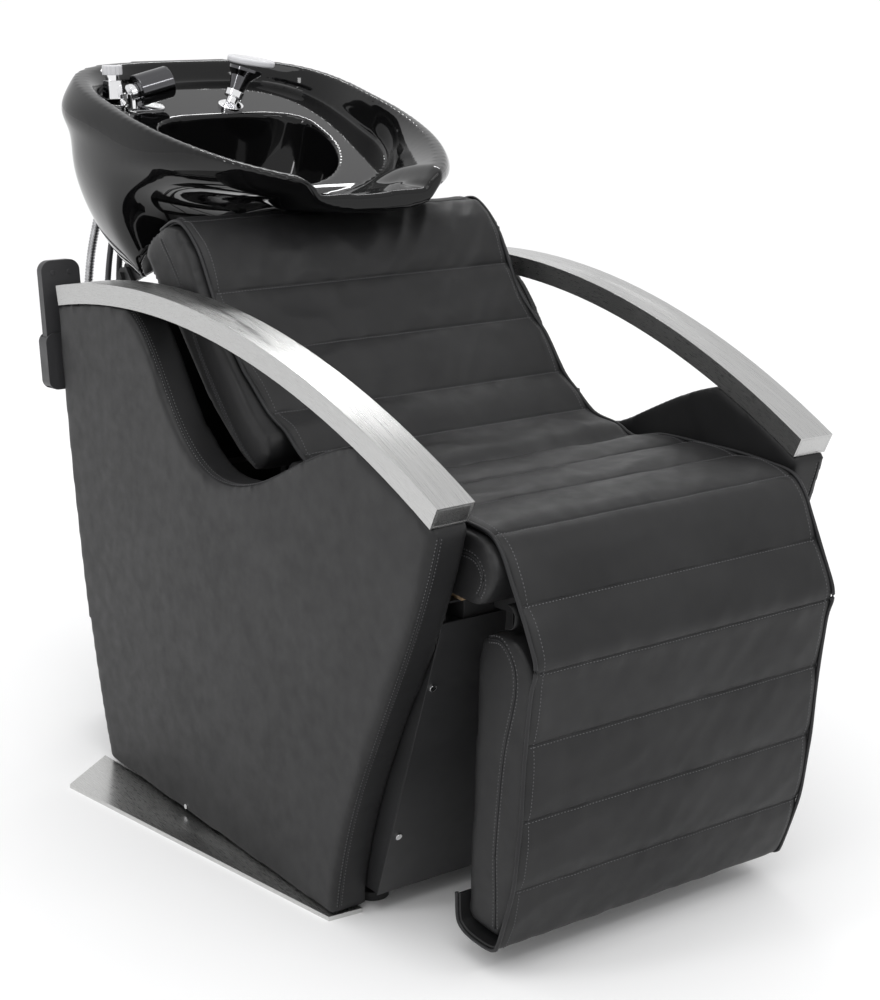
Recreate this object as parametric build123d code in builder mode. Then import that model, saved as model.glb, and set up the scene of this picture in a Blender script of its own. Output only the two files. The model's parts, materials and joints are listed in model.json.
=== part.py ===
"""Salon backwash unit: reclining wash chair with a tilting ceramic bowl behind the backrest.

Millimetres. X runs across the unit, Y from the leg rest (-) to the bowl (+), Z up, floor at Z = 0.
The origin is on the floor under the middle of the unit's overall box.
"""
import os
from math import asin, copysign, cos, hypot, pi, radians, sin, sqrt, tan

from build123d import *

# ---------------------------------------------------------------- driving dimensions
PANEL_HALF_WIDTH = 326.7        # outer face of a side panel from the centre, at Y = 0
PANEL_THICKNESS = 53.0
TOE_ANGLE = 2.376               # the panels lean together towards the front, degrees
PLATE_THICKNESS = 6.0           # floor plates
ARM_CENTRE = (87.2, -719.8)     # centre of the armrest's arc (Y, Z)
ARM_RADIUS = 1465.2             # outer (upper) face of the armrest
ARM_DEPTH = 29.0
ARM_WALL = 3.0
ARM_FRONT_Y = -554.0
ARM_REAR_Y = 376.0

RAIL = 30.0                     # square steel tube of the frame
RAIL_OUTER_X = 245.0
RAIL_REAR_Y = 470.0
RAIL_FRONT_Y = -330.0
BASE_Z = 34.0
SEAT_RAIL_Z = 429.0
SEAT_RAIL_FRONT_Y = -484.0
BOARD = 12.0                    # plywood under the upholstery

SEAT_HALF_WIDTH = 243.0
BACK_HALF_WIDTH = 262.0
LEG_HALF_WIDTH = 218.0
MAT_HALF_BACK = 248.0
MAT_HALF_SEAT = 232.0
MAT_HALF_LEG = 226.0
MAT = 9.0                       # thickness of the channelled overlay mat

HINGE_Y = -561.0                # leg rest hinge axis
HINGE_Z = 458.0
HINGE_PIN_R = 5.0
KNUCKLE_R = 11.0
LEG_PLATE_X = 160.0             # inner face of a leg rest hinge arm
SWING_HALF = radians(37.5)      # half of the leg rest's travel
LEVER_HEIGHT = 110.0            # from the hinge axis down to the push rod's line
ROD_PER_RADIAN = 124.1          # rod travel per radian of leg rest swing
ROD_R = 10.0
ROD_PIN_R = 6.0
TUBE_R = 21.0

RUN_GAP = 0.05                  # radial clearance of a pin in its hole
PART_GAP = 0.4                  # clearance between bodies that pass each other

BOWL_Y = 359.0                  # reference point of the rim plane
BOWL_Z = 956.0
RIM_TILT = 12.43                # degrees, the rim rises towards the rear
DECK_TILT = 19.1                # the inner deck is steeper
DECK_Z = 896.0
BOWL_WALL = 10.0
NECK_Y = 44.0                   # front of the neck notch
SKIRT_Z = 702.0                 # lower edge of the ceramic skirt
PIVOT_Y = 540.0                 # bowl tilt axis
PIVOT_Z = 690.0
DRAIN_Y = 400.0
DRAIN_R = 24.0

os.makedirs("parts", exist_ok=True)


# ---------------------------------------------------------------- helpers
def keep(builder, name):
    """Label a finished piece and write its STEP file."""
    builder.part.label = name
    export_step(builder.part, f"parts/{name}.step")


def arm_z(y, depth=0.0):
    """Height of the armrest's arc at Y, at a depth below its upper face."""
    radius = ARM_RADIUS - depth
    return ARM_CENTRE[1] + sqrt(radius**2 - (y - ARM_CENTRE[0]) ** 2)


def arm_point(y, depth=0.0):
    """Point on the armrest's arc along the radius through the upper face at Y."""
    angle = asin((y - ARM_CENTRE[0]) / ARM_RADIUS)
    radius = ARM_RADIUS - depth
    return (ARM_CENTRE[0] + radius * sin(angle), ARM_CENTRE[1] + radius * cos(angle))


def cover_y(z):
    """Front face of the slanted front cover at a height."""
    return -355.0 - 136.0 * (z - 30.0) / 406.0


def offset_path(path, distance):
    """The path moved to its left by a distance, or to its right by a negative one."""
    moved = []
    for index, point in enumerate(path):
        before = path[max(index - 1, 0)]
        after = path[min(index + 1, len(path) - 1)]
        run = (after[0] - before[0], after[1] - before[1])
        length = hypot(*run)
        moved.append((point[0] - distance * run[1] / length, point[1] + distance * run[0] / length))
    return moved


def sheet_outline(path, thickness):
    """Closed outline of a sheet that lies along a path."""
    return list(path) + offset_path(path, thickness)[::-1]


def side_profile(outline, x_low, x_high, curved=False):
    """A piece whose side view is a closed outline in (Y, Z), between two X positions."""
    with BuildPart() as piece:
        with BuildSketch(Plane.YZ.offset(x_low)):
            with BuildLine():
                if curved:
                    Spline(*outline, periodic=True)
                else:
                    Polyline(*outline, close=True)
            make_face()
        extrude(amount=x_high - x_low)
    return piece


def mirrored_pair(outline, x_low, x_high):
    """Two equal plates, one on each side of the centre."""
    with BuildPart() as pair:
        for low in (x_low, -x_high):
            with BuildSketch(Plane.YZ.offset(low)):
                with BuildLine():
                    Polyline(*outline, close=True)
                make_face()
            extrude(amount=x_high - x_low)
    return pair


def box_between(low, high, mode=Mode.ADD):
    """Box from its lowest to its highest corner, in the current builder."""
    centre = tuple((a + b) / 2 for a, b in zip(low, high))
    size = [b - a for a, b in zip(low, high)]
    with Locations(centre):
        Box(*size, mode=mode)


def round_bar(start, radius, length, mode=Mode.ADD):
    """Round bar from a point towards +Y, in the current builder."""
    with Locations(Location(start, (-90, 0, 0))):
        Cylinder(radius, length, align=(Align.CENTER, Align.CENTER, Align.MIN), mode=mode)


def tube_rail(low, high, axis, wall=2.5):
    """Square tube between two corners, open at both ends, along one axis."""
    box_between(low, high)
    inner_low = [a + (0 if i == axis else wall) for i, a in enumerate(low)]
    inner_high = [b - (0 if i == axis else wall) for i, b in enumerate(high)]
    box_between(inner_low, inner_high, Mode.SUBTRACT)


# ---------------------------------------------------------------- side panels, arms, floor plates
PANEL_PLANE = Plane(
    origin=(-PANEL_HALF_WIDTH, 0, 0),
    x_dir=(-sin(radians(TOE_ANGLE)), cos(radians(TOE_ANGLE)), 0),
    z_dir=(cos(radians(TOE_ANGLE)), sin(radians(TOE_ANGLE)), 0),
)


def mirror_to_right(left, name):
    with BuildPart() as right:
        mirror(left.part, about=Plane.YZ)
    keep(right, name)


def side_panels():
    """Upholstered side panels: they taper to the floor and dip between the two arm seats."""
    seat_rear = (164.0, arm_z(164.0, ARM_DEPTH))
    seat_hump = (-392.0, arm_z(-392.0, ARM_DEPTH))
    rear_top = (376.0, arm_z(376.0, ARM_DEPTH))
    front_top = (-547.0, arm_z(-547.0, ARM_DEPTH))
    with BuildPart() as panel:
        with BuildSketch(PANEL_PLANE):
            with BuildLine():
                Line((-333, PLATE_THICKNESS), (274, PLATE_THICKNESS))
                Spline((274, PLATE_THICKNESS), (322, 200), (357, 440), rear_top)
                ThreePointArc(rear_top, (270, arm_z(270, ARM_DEPTH)), seat_rear)
                Spline(seat_rear, (128, 690), (72, 623), (34, 575), (-42, 526), (-139, 530),
                       (-264, 585), (-331, 615), seat_hump)
                ThreePointArc(seat_hump, (-470, arm_z(-470, ARM_DEPTH)), front_top)
                Spline(front_top, (-529, 510), (-440, 312), (-333, PLATE_THICKNESS))
            make_face()
        extrude(amount=PANEL_THICKNESS)
    keep(panel, "side_panel_left")
    mirror_to_right(panel, "side_panel_right")


def arm_band(plane, y_front, y_rear, depth_top, depth_bottom):
    """Side view of a stretch of the armrest's bar, on a plane."""
    y_middle = (y_front + y_rear) / 2
    with BuildSketch(plane) as band:
        with BuildLine():
            ThreePointArc(arm_point(y_front, depth_top), arm_point(y_middle, depth_top),
                          arm_point(y_rear, depth_top))
            Line(arm_point(y_rear, depth_top), arm_point(y_rear, depth_bottom))
            ThreePointArc(arm_point(y_rear, depth_bottom), arm_point(y_middle, depth_bottom),
                          arm_point(y_front, depth_bottom))
            Line(arm_point(y_front, depth_bottom), arm_point(y_front, depth_top))
        make_face()
    return band.sketch


def armrests():
    """Bent rectangular steel tube on each panel, with welded end caps."""
    inner_bottom = ARM_DEPTH - ARM_WALL
    inner_plane = PANEL_PLANE.offset(ARM_WALL)
    inner_width = PANEL_THICKNESS - 2 * ARM_WALL
    skin = arm_band(PANEL_PLANE, ARM_FRONT_Y, ARM_REAR_Y, 0, ARM_DEPTH)
    bore = arm_band(inner_plane, ARM_FRONT_Y - 1, ARM_REAR_Y + 1, ARM_WALL, inner_bottom)
    with BuildPart() as arm:
        extrude(skin, amount=PANEL_THICKNESS)
        extrude(bore, amount=inner_width, mode=Mode.SUBTRACT)
    keep(arm, "armrest_left")
    mirror_to_right(arm, "armrest_right")

    with BuildPart() as caps:
        for y_front, y_rear in ((ARM_FRONT_Y, ARM_FRONT_Y + ARM_WALL), (ARM_REAR_Y - ARM_WALL, ARM_REAR_Y)):
            cap = arm_band(inner_plane, y_front, y_rear, ARM_WALL, inner_bottom)
            extrude(cap, amount=inner_width)
        mirror(about=Plane.YZ)
    keep(caps, "armrest_caps")


def floor_plates():
    """Fin-shaped stainless shoe under each panel."""
    with BuildPart() as plate:
        with BuildSketch():
            with BuildLine():
                Polyline((-316, -331), (-427, 222), (-340, 289), (-268, -335), close=True)
            make_face()
        extrude(amount=PLATE_THICKNESS)
    keep(plate, "floor_plate_left")
    mirror_to_right(plate, "floor_plate_right")


# ---------------------------------------------------------------- frame and covers
BACK_REAR_LINE = [(-30, 537), (58, 597), (142, 678), (228, 757)]   # rear face of the backrest (Y, Z)


def base_frame():
    """Welded square tube: floor rails, posts, seat rails and back uprights."""
    inner_x = RAIL_OUTER_X - RAIL
    top_z = BASE_Z + RAIL
    with BuildPart() as rails:
        for low_x in (-RAIL_OUTER_X, inner_x):
            tube_rail((low_x, RAIL_FRONT_Y, BASE_Z), (low_x + RAIL, RAIL_REAR_Y, top_z), 1)
        for low_y in (RAIL_FRONT_Y, 200.0, RAIL_REAR_Y - RAIL):
            tube_rail((-inner_x, low_y, BASE_Z), (inner_x, low_y + RAIL, top_z), 0)
    keep(rails, "base_rails")

    with BuildPart() as seat_frame:
        for low_x in (-RAIL_OUTER_X, inner_x):
            for low_y in (RAIL_FRONT_Y, 200.0):
                tube_rail((low_x, low_y, top_z), (low_x + RAIL, low_y + RAIL, SEAT_RAIL_Z), 2)
            tube_rail((low_x, SEAT_RAIL_FRONT_Y, SEAT_RAIL_Z), (low_x + RAIL, 230.0, SEAT_RAIL_Z + RAIL), 1)
        for low_y in (SEAT_RAIL_FRONT_Y, -140.0, -24.0, 200.0):
            tube_rail((-inner_x, low_y, SEAT_RAIL_Z), (inner_x, low_y + RAIL, SEAT_RAIL_Z + RAIL), 0)
    keep(seat_frame, "seat_frame")

    with BuildPart() as panel_spacers:
        for y_mid, z_mid in ((-300.0, 200.0), (-300.0, 380.0), (215.0, 120.0), (215.0, 380.0)):
            reach = PANEL_HALF_WIDTH + tan(radians(TOE_ANGLE)) * (y_mid - 15) - PANEL_THICKNESS - 2.0
            for side in (-1, 1):
                low = min(side * RAIL_OUTER_X, side * reach)
                high = max(side * RAIL_OUTER_X, side * reach)
                box_between((low, y_mid - 10, z_mid - 20), (high, y_mid + 10, z_mid + 20))
    keep(panel_spacers, "panel_spacers")


def back_supports():
    """Inclined flat bars that carry the backrest."""
    front_edge = offset_path(BACK_REAR_LINE, -BOARD)
    rear_edge = offset_path(BACK_REAR_LINE, -BOARD - 22)
    foot = [(8, SEAT_RAIL_Z + RAIL), (-24, SEAT_RAIL_Z + RAIL)]
    bars = mirrored_pair(front_edge + rear_edge[::-1] + foot, 180, 190)
    keep(bars, "back_frame_bars")


def boards():
    """Plywood boards under the seat and behind the backrest."""
    seat_z = SEAT_RAIL_Z + RAIL
    with BuildPart() as panels:
        box_between((-225, -490, seat_z), (225, -120, seat_z + BOARD))
        add(side_profile(sheet_outline(BACK_REAR_LINE, -BOARD), -225, 225).part)
    keep(panels, "upholstery_boards")


def covers():
    """Painted sheet covers at the front and rear of the base."""
    slope = Plane(origin=(0, cover_y(30), 30), x_dir=(1, 0, 0), z_dir=(0, -406, -136))
    length = hypot(406, 136)
    low_half, high_half, flange = 258.4, 252.8, 46.0
    shift = 1.5                  # the offset of the panel's plane moves the flange to the rear
    with BuildPart() as front:
        with BuildSketch(slope):
            with BuildLine():
                Polyline((-low_half, 0), (low_half, 0), (high_half, length), (-high_half, length),
                         close=True)
            make_face()
            with Locations((0, 337)):
                Rectangle(52, 114, mode=Mode.SUBTRACT)
        extrude(amount=-2)
        with BuildSketch(PANEL_PLANE.offset(PANEL_THICKNESS + 1.2)):
            with BuildLine():
                Polyline((cover_y(32) - shift, 32), (cover_y(434) - shift, 434),
                         (cover_y(434) + flange, 434), (cover_y(32) + flange, 32), close=True)
            make_face()
        left_flange = extrude(amount=2)
        mirror(left_flange, about=Plane.YZ)
    keep(front, "front_cover")

    with BuildPart() as rear:
        box_between((-258, 240, 72), (258, 242, 714))
        for slot in range(6):
            z = 140 + 16 * slot
            box_between((-60, 238, z), (60, 244, z + 6), Mode.SUBTRACT)
    keep(rear, "rear_cover")

    with BuildPart() as screws:
        with BuildSketch(slope):
            with Locations((-246, 97), (246, 97), (-246, 333), (246, 333)):
                Circle(4.5)
        extrude(amount=2.2)
        with BuildSketch(PANEL_PLANE):
            with Locations((40, 16)):
                Circle(3.5)
        panel_screw = extrude(amount=-1.6)
        mirror(panel_screw, about=Plane.YZ)
    keep(screws, "trim_screws")


def feet():
    """Levelling feet under the base rails."""
    spacing_x, spacing_y, middle_y, pad = 460.0, 720.0, 60.0, 12.0
    with BuildPart() as group:
        for radius, low_z, high_z in ((21, 0, pad), (12, pad, pad + 8), (5, pad, BASE_Z)):
            with BuildSketch(Plane((0, middle_y, low_z))):
                with GridLocations(spacing_x, spacing_y, 2, 2):
                    Circle(radius)
            extrude(amount=high_z - low_z)
    keep(group, "levelling_feet")


# ---------------------------------------------------------------- upholstery
# upper face of the overlay mat, from the bowl end to the leg rest's foot, as (Y, Z)
MAT_BACK = [(214, 812), (174, 829), (141, 826), (98, 795), (63, 743), (42, 709), (2, 672), (-33, 639),
            (-69, 603), (-106, 583), (-134, 566)]
MAT_SEAT = [(-137, 563), (-160, 555), (-206, 551), (-244, 541), (-300, 556), (-380, 561), (-453, 564),
            (-516, 563), (-546, 561), (-562, 555), (-574, 544), (-583, 531), (-590, 518)]
MAT_BEND = [(-590.4, 517.3), (-608, 486), (-626, 453), (-637, 430), (-638, 415)]
MAT_LEG = [(-636.3, 410.5), (-631, 390), (-626, 353), (-622, 316), (-619, 279), (-616, 228), (-611, 188),
           (-604, 138), (-592, 98), (-575, 50), (-566, 38), (-548, 33), (-512, 33), (-492, 40), (-485, 52),
           (-483, 84)]


def seat_and_back():
    under_seat = offset_path(MAT_SEAT, MAT + PART_GAP)[1:-1]
    nose = [(-580, 512), (-570, 495), (-556, 478), (-541, 470)]
    seat = side_profile([(-500, 471), (-118, 471), (-118, 542), (-132, 550), *under_seat, *nose],
                        -SEAT_HALF_WIDTH, SEAT_HALF_WIDTH)
    keep(seat, "seat_cushion")
    under_back = offset_path(MAT_BACK, MAT + PART_GAP)[:-1]
    back = side_profile([(-104, 549), (-85, 531), (-66, 524), *BACK_REAR_LINE, (240, 768), (236, 782),
                         *under_back], -BACK_HALF_WIDTH, BACK_HALF_WIDTH)
    keep(back, "back_cushion")


def overlay_mat():
    """Channelled mat that lies over backrest, seat and leg rest, in four stretches."""
    for name, line, half_width in (("back", MAT_BACK, MAT_HALF_BACK), ("seat", MAT_SEAT, MAT_HALF_SEAT),
                                   ("bend", MAT_BEND, MAT_HALF_SEAT), ("leg", MAT_LEG, MAT_HALF_LEG)):
        stretch = side_profile(sheet_outline(line, MAT), -half_width, half_width)
        keep(stretch, f"overlay_{name}")


def leg_rest():
    """Leg rest: cushion on a steel back plate, hinge arms, and the slotted lever pair."""
    pad_rear_top, pad_rear_low = (-516, 405), (-497, 56)

    def pad_rear(z):
        return pad_rear_top[0] + (pad_rear_top[1] - z) * 19 / 349

    front_line = offset_path(MAT_LEG, MAT + PART_GAP)[1:9]
    with BuildPart() as cushion:
        with BuildSketch(Plane.YZ.offset(-LEG_HALF_WIDTH)):
            with BuildLine():
                Polyline(pad_rear_top, (-520, 420), (-534, 430), (-552, 436), (-575, 437), (-592, 430),
                         (-610, 412), *front_line, (-558, 54), (-500, 54), pad_rear_low, close=True)
            make_face()
        extrude(amount=2 * LEG_HALF_WIDTH)
    keep(cushion, "leg_cushion")

    plate, plate_top, plate_low = 4.0, 400.0, 92.0
    gap = 0.2
    back_plate = side_profile(
        [(pad_rear(plate_top) + gap, plate_top), (pad_rear(plate_low) + gap, plate_low),
         (pad_rear(plate_low) + plate, plate_low), (pad_rear(plate_top) + plate, plate_top)], -195, 195)
    keep(back_plate, "leg_back_plate")

    slot_angle = -pi / 2 + SWING_HALF
    slot_middle = 125.0
    slot_y = HINGE_Y + slot_middle * cos(slot_angle)
    slot_z = HINGE_Z + slot_middle * sin(slot_angle)
    with BuildPart() as arms:
        for low_x in (LEG_PLATE_X, -LEG_PLATE_X - 6):
            with BuildSketch(Plane.YZ.offset(low_x)):
                with BuildLine():
                    Polyline((HINGE_Y, HINGE_Z + KNUCKLE_R), (-506, 462), (-499, 452), (-497, 425),
                             (-488, 370), (-480, 300), (-480, 235), (pad_rear(235) + plate, 235),
                             (pad_rear(400) + plate, 400), (-511, 442.5),
                             (HINGE_Y, HINGE_Z - KNUCKLE_R), close=True)
                make_face()
                with Locations((HINGE_Y, HINGE_Z)):
                    Circle(KNUCKLE_R)
                    Circle(HINGE_PIN_R + RUN_GAP, mode=Mode.SUBTRACT)
            extrude(amount=6)
        for low_x in (11.0, -16.0):
            with BuildSketch(Plane.YZ.offset(low_x)):
                with BuildLine():
                    Polyline((pad_rear(398) + plate, 398), (-500, 398), (-474, 372), (-456, 350),
                             (-462, 330), (-478, 325), (-490, 338), (pad_rear(345) + plate, 345), close=True)
                make_face()
                with Locations(Location((slot_y, slot_z), slot_angle * 180 / pi)):
                    SlotOverall(52, 20, mode=Mode.SUBTRACT)
            extrude(amount=5)
    keep(arms, "leg_hinge_arms")


def hinge_mounts():
    """Fixed hinge plates under the seat nose, with the two hinge pins."""
    low_x = LEG_PLATE_X + 6 + 2
    with BuildPart() as plates:
        for start in (low_x, -low_x - 6):
            with BuildSketch(Plane.YZ.offset(start)):
                with BuildLine():
                    Polyline((SEAT_RAIL_FRONT_Y, 459), (-497, 459), (-505, 465),
                             (HINGE_Y, HINGE_Z + KNUCKLE_R), (HINGE_Y, HINGE_Z - KNUCKLE_R), (-510, 442),
                             (SEAT_RAIL_FRONT_Y, 440), close=True)
                make_face()
                with Locations((HINGE_Y, HINGE_Z)):
                    Circle(KNUCKLE_R)
                    Circle(HINGE_PIN_R, mode=Mode.SUBTRACT)
            extrude(amount=6)
        for side in (-1, 1):
            with BuildSketch(Plane.YZ.offset(side * (LEG_PLATE_X - 4))):
                with Locations((HINGE_Y, HINGE_Z)):
                    Circle(HINGE_PIN_R)
            extrude(amount=side * 22)
    keep(plates, "hinge_plates")


def hinge_gaiter():
    """Vinyl gaiter that wraps the front of the hinge line, from the seat to the leg rest."""
    outer, inner = 16.0, 14.2
    with BuildPart() as gaiter:
        with BuildSketch(Plane.YZ.offset(-212)):
            with Locations((HINGE_Y, HINGE_Z)):
                Circle(outer)
                Circle(inner, mode=Mode.SUBTRACT)
            with Locations((HINGE_Y + outer + 4, HINGE_Z)):
                Rectangle(2 * outer, 3 * outer, mode=Mode.SUBTRACT)
        extrude(amount=424)
    keep(gaiter, "hinge_gaiter")


# ---------------------------------------------------------------- leg rest drive
def actuator():
    """Linear actuator lying under the seat: motor and tube on the frame, rod to the lever."""
    axis_z = HINGE_Z - LEVER_HEIGHT
    pin_y = HINGE_Y + ROD_PER_RADIAN * SWING_HALF
    tube_front, tube_rear = -440.0, -205.0

    with BuildPart() as tube:
        round_bar((0, tube_front, axis_z), TUBE_R, tube_rear - tube_front)
        round_bar((0, tube_front, axis_z), ROD_R + RUN_GAP, tube_rear - tube_front - 12, Mode.SUBTRACT)
    keep(tube, "actuator_tube")

    with BuildPart() as motor:
        box_between((-32, tube_rear, axis_z - 30), (32, tube_rear + 60, axis_z + 30))
        with BuildSketch(Plane.XY.offset(axis_z - 150)):
            with Locations((0, tube_rear + 30)):
                Circle(27)
        extrude(amount=120)
        box_between((-9, tube_rear + 60, axis_z - 14), (9, tube_rear + 92, axis_z + 14))
        with BuildSketch(Plane.YZ.offset(-10)):
            with Locations((tube_rear + 78, axis_z)):
                Circle(6)
        extrude(amount=20, mode=Mode.SUBTRACT)
    keep(motor, "actuator_motor")

    with BuildPart() as rod:
        round_bar((0, pin_y + 13, axis_z), ROD_R, 205)
        box_between((-7, pin_y, axis_z - 10.5), (7, pin_y + 14, axis_z + 10.5))
        with BuildSketch(Plane.YZ.offset(-7)):
            with Locations((pin_y, axis_z)):
                Circle(10.5)
        extrude(amount=14)
        with BuildSketch(Plane.YZ.offset(-8)):
            with Locations((pin_y, axis_z)):
                Circle(ROD_PIN_R)
        extrude(amount=16, mode=Mode.SUBTRACT)
    keep(rod, "actuator_rod")

    with BuildPart() as rod_pin:
        with BuildSketch(Plane.YZ.offset(-22)):
            with Locations((pin_y, axis_z)):
                Circle(ROD_PIN_R)
        extrude(amount=44)
    keep(rod_pin, "actuator_rod_pin")

    with BuildPart() as mount:
        for low_x in (-16.0, 10.0):
            box_between((low_x, tube_rear + 64, axis_z - 16), (low_x + 6, tube_rear + 110, axis_z + 80.9))
        with BuildSketch(Plane.YZ.offset(-19)):
            with Locations((tube_rear + 78, axis_z)):
                Circle(6)
        extrude(amount=38)
        box_between((-27, -424, axis_z - 27), (27, -400, axis_z + 33))
        box_between((-3, -470, axis_z + 33), (3, -400, SEAT_RAIL_Z))
        box_between((-3, -480, SEAT_RAIL_Z - 12), (3, -454, SEAT_RAIL_Z))
        round_bar((0, -430, axis_z), TUBE_R, 40, Mode.SUBTRACT)
    keep(mount, "actuator_mounts")


def electrics():
    """Control box, mains inlet, and the wired hand control in its holster."""
    with BuildPart() as box:
        box_between((-205, 40, BASE_Z + RAIL), (-85, 195, BASE_Z + RAIL + 62))
        fillet(box.edges().filter_by(Axis.Z), 8)
    keep(box, "control_box")

    with BuildPart() as inlet:
        box_between((150, 242, 96), (200, 262, 130))
        box_between((159, 250, 102), (191, 262, 124), Mode.SUBTRACT)
    keep(inlet, "mains_inlet")


HANDSET_PLANE = Plane(
    origin=(-322, 383.5, 560),
    x_dir=(1, 0, 0),
    z_dir=(0, -cos(radians(5.0)), sin(radians(5.0))),
)


def handset():
    """Hand control: a slim box that drops into a pocket on the rear edge of the left panel."""
    height, width, depth, start = 186.0, 60.0, 20.0, 4.0
    with BuildPart() as body:
        with BuildSketch(HANDSET_PLANE.offset(-start - depth)):
            with Locations((0, (height / 2 + 4))):
                RectangleRounded(width, height, 16)
        extrude(amount=depth)
        fillet(body.faces().sort_by(Axis.Y)[-1].edges(), 4)
        with BuildSketch(HANDSET_PLANE.offset(-start - depth)):
            with Locations((0, 150), (0, 122)):
                RectangleRounded(24 + 2 * PART_GAP, 16 + 2 * PART_GAP, 4)
        extrude(amount=3.0, mode=Mode.SUBTRACT)
        with BuildSketch(HANDSET_PLANE.offset(-start)):
            with Locations((-13, 172), (13, 172)):
                Circle(3.4)
        extrude(amount=1.2)
    keep(body, "handset_body")

    for name, along in (("button_raise", 150), ("button_lower", 122)):
        with BuildPart() as button:
            with BuildSketch(HANDSET_PLANE.offset(-start - depth - 1.6)):
                with Locations((0, along)):
                    RectangleRounded(24, 16, 4)
            extrude(amount=3.0)
        keep(button, name)

    wall, pocket_height = 3.0, 84.0
    inner_width, inner_depth = width + 2, depth + 2
    with BuildPart() as holster:
        with BuildSketch(HANDSET_PLANE):
            with Locations((0, pocket_height / 2)):
                RectangleRounded(inner_width + 2 * wall, pocket_height, 14)
        extrude(amount=-(inner_depth + 2 * wall))
        with BuildSketch(HANDSET_PLANE.offset(-wall)):
            with Locations((0, (pocket_height / 2 + wall))):
                Rectangle(inner_width, pocket_height)
        extrude(amount=-inner_depth, mode=Mode.SUBTRACT)
    keep(holster, "handset_holster")


# ---------------------------------------------------------------- bowl
RIM_PLANE = Plane(
    origin=(0, BOWL_Y, BOWL_Z),
    x_dir=(1, 0, 0),
    z_dir=(0, -sin(radians(RIM_TILT)), cos(radians(RIM_TILT))),
)
DECK_PLANE = Plane(
    origin=(0, BOWL_Y, DECK_Z),
    x_dir=(1, 0, 0),
    z_dir=(0, -sin(radians(DECK_TILT)), cos(radians(DECK_TILT))),
)


def egg(half_width, rear, front, centre, rear_power, front_power, count=32):
    """Egg-shaped closed outline: a squarer rear half and a rounder front half."""
    points = []
    for step in range(count):
        angle = 2 * pi * step / count
        along = sin(angle)
        across = cos(angle)
        power = rear_power if along > 0 else front_power
        reach = rear if along > 0 else front
        x = half_width * copysign(abs(across) ** (2 / power), across)
        v = centre + reach * copysign(abs(along) ** (2 / power), along)
        points.append((x, v))
    return points


def egg_face(plane, *shape):
    with BuildSketch(plane) as face:
        with BuildLine():
            Spline(*egg(*shape), periodic=True)
        make_face()
    return face.sketch


def bowl_outer():
    """Outer ceramic form from above the rim down to the skirt."""
    sections = [  # depth under the rim plane, half width, rear, front, centre, powers
        (0, 236, 250, 409, 40, 3.4, 2.0),
        (70, 249, 237, 262, 40, 3.4, 2.0),
        (141, 240, 216, 120, 40, 3.2, 2.2),
        (212, 211, 187, 96, 40, 3.0, 2.4),
        (280, 150, 130, 56, 40, 2.8, 2.4),
    ]
    faces = [egg_face(RIM_PLANE.offset(-depth), *shape) for depth, *shape in sections]
    with BuildPart() as outer:
        loft(faces)
    return outer.part


def bowl_hollow():
    """Space under the deck, open at the bottom."""
    faces = [
        egg_face(DECK_PLANE.offset(-12), 226, 264, 150, 22, 3.6, 2.2),
        egg_face(RIM_PLANE.offset(-141), 240 - BOWL_WALL, 216 - BOWL_WALL, 120 - 14, 40, 3.2, 2.2),
        egg_face(RIM_PLANE.offset(-212), 211 - BOWL_WALL, 187 - BOWL_WALL, 96 - 12, 40, 3.0, 2.4),
        egg_face(RIM_PLANE.offset(-284), 150 - BOWL_WALL, 130 - BOWL_WALL, 56 - 10, 40, 2.8, 2.4),
    ]
    with BuildPart() as hollow:
        loft(faces)
    return hollow.part


WELL_FLOOR = Plane(origin=(0, DRAIN_Y, 776), x_dir=(1, 0, 0), z_dir=(0, -0.06, 1))


def well_shape(wall):
    """The basin under the deck: wide at the rear, narrow towards the neck."""
    top = DECK_PLANE.offset(0 if wall else 1)
    faces = [
        egg_face(top, 134 + wall, 76 + wall, 186 + wall, 58, 3.6, 1.8),
        egg_face(WELL_FLOOR.offset(60), 118 + wall, 84 + wall, 128 + wall, 12, 3.0, 2.0),
        egg_face(WELL_FLOOR.offset(-wall), 88 + wall, 66 + wall, 84 + wall, 8, 2.6, 2.2),
    ]
    with BuildPart() as well:
        loft(faces)
    return well.part


def bowl():
    """One ceramic casting, in two nodes: the dish with its deck and skirt, and the basin under the deck."""
    outer = bowl_outer()
    under = bowl_hollow()
    well_skin = well_shape(BOWL_WALL)
    well = well_shape(0)
    dish_faces = [
        egg_face(RIM_PLANE.offset(1), 221, 236, 396, 40, 3.4, 2.0),
        egg_face(DECK_PLANE, 208, 250, 182, 22, 3.8, 2.0),
    ]
    with BuildPart() as dish:
        loft(dish_faces)
    with BuildPart() as basin:
        add(well_skin)
        add(dish.part, mode=Mode.SUBTRACT)
        add(well, mode=Mode.SUBTRACT)
        with BuildSketch(Plane.XY.offset(740)):
            with Locations((0, DRAIN_Y)):
                Circle(DRAIN_R)
        extrude(amount=60, mode=Mode.SUBTRACT)
    keep(basin, "bowl_basin")

    with BuildPart() as ceramic:
        add(outer)
        add(under, mode=Mode.SUBTRACT)
        add(dish.part, mode=Mode.SUBTRACT)
        add(well_skin, mode=Mode.SUBTRACT)
        box_between((-300, -200, 600), (300, NECK_Y, 1200), Mode.SUBTRACT)
        with BuildSketch(Plane.YZ.offset(-300)):
            with BuildLine():
                Polyline((0, 400), (0, 760), (385, 760), (445, SKIRT_Z), (479, SKIRT_Z), (520, 760),
                         (600, 836), (665, 862), (900, 862), (900, 400), close=True)
            make_face()
        extrude(amount=600, mode=Mode.SUBTRACT)
        with BuildSketch(Plane(origin=(0, 0, 0), x_dir=(1, 0, 0), z_dir=(0, -1, 0))):
            with Locations((0, 907)):
                RectangleRounded(186, 60, 12)
        extrude(amount=-160, mode=Mode.SUBTRACT)
        add(deck_holes(), mode=Mode.SUBTRACT)
    keep(ceramic, "bowl")


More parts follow.
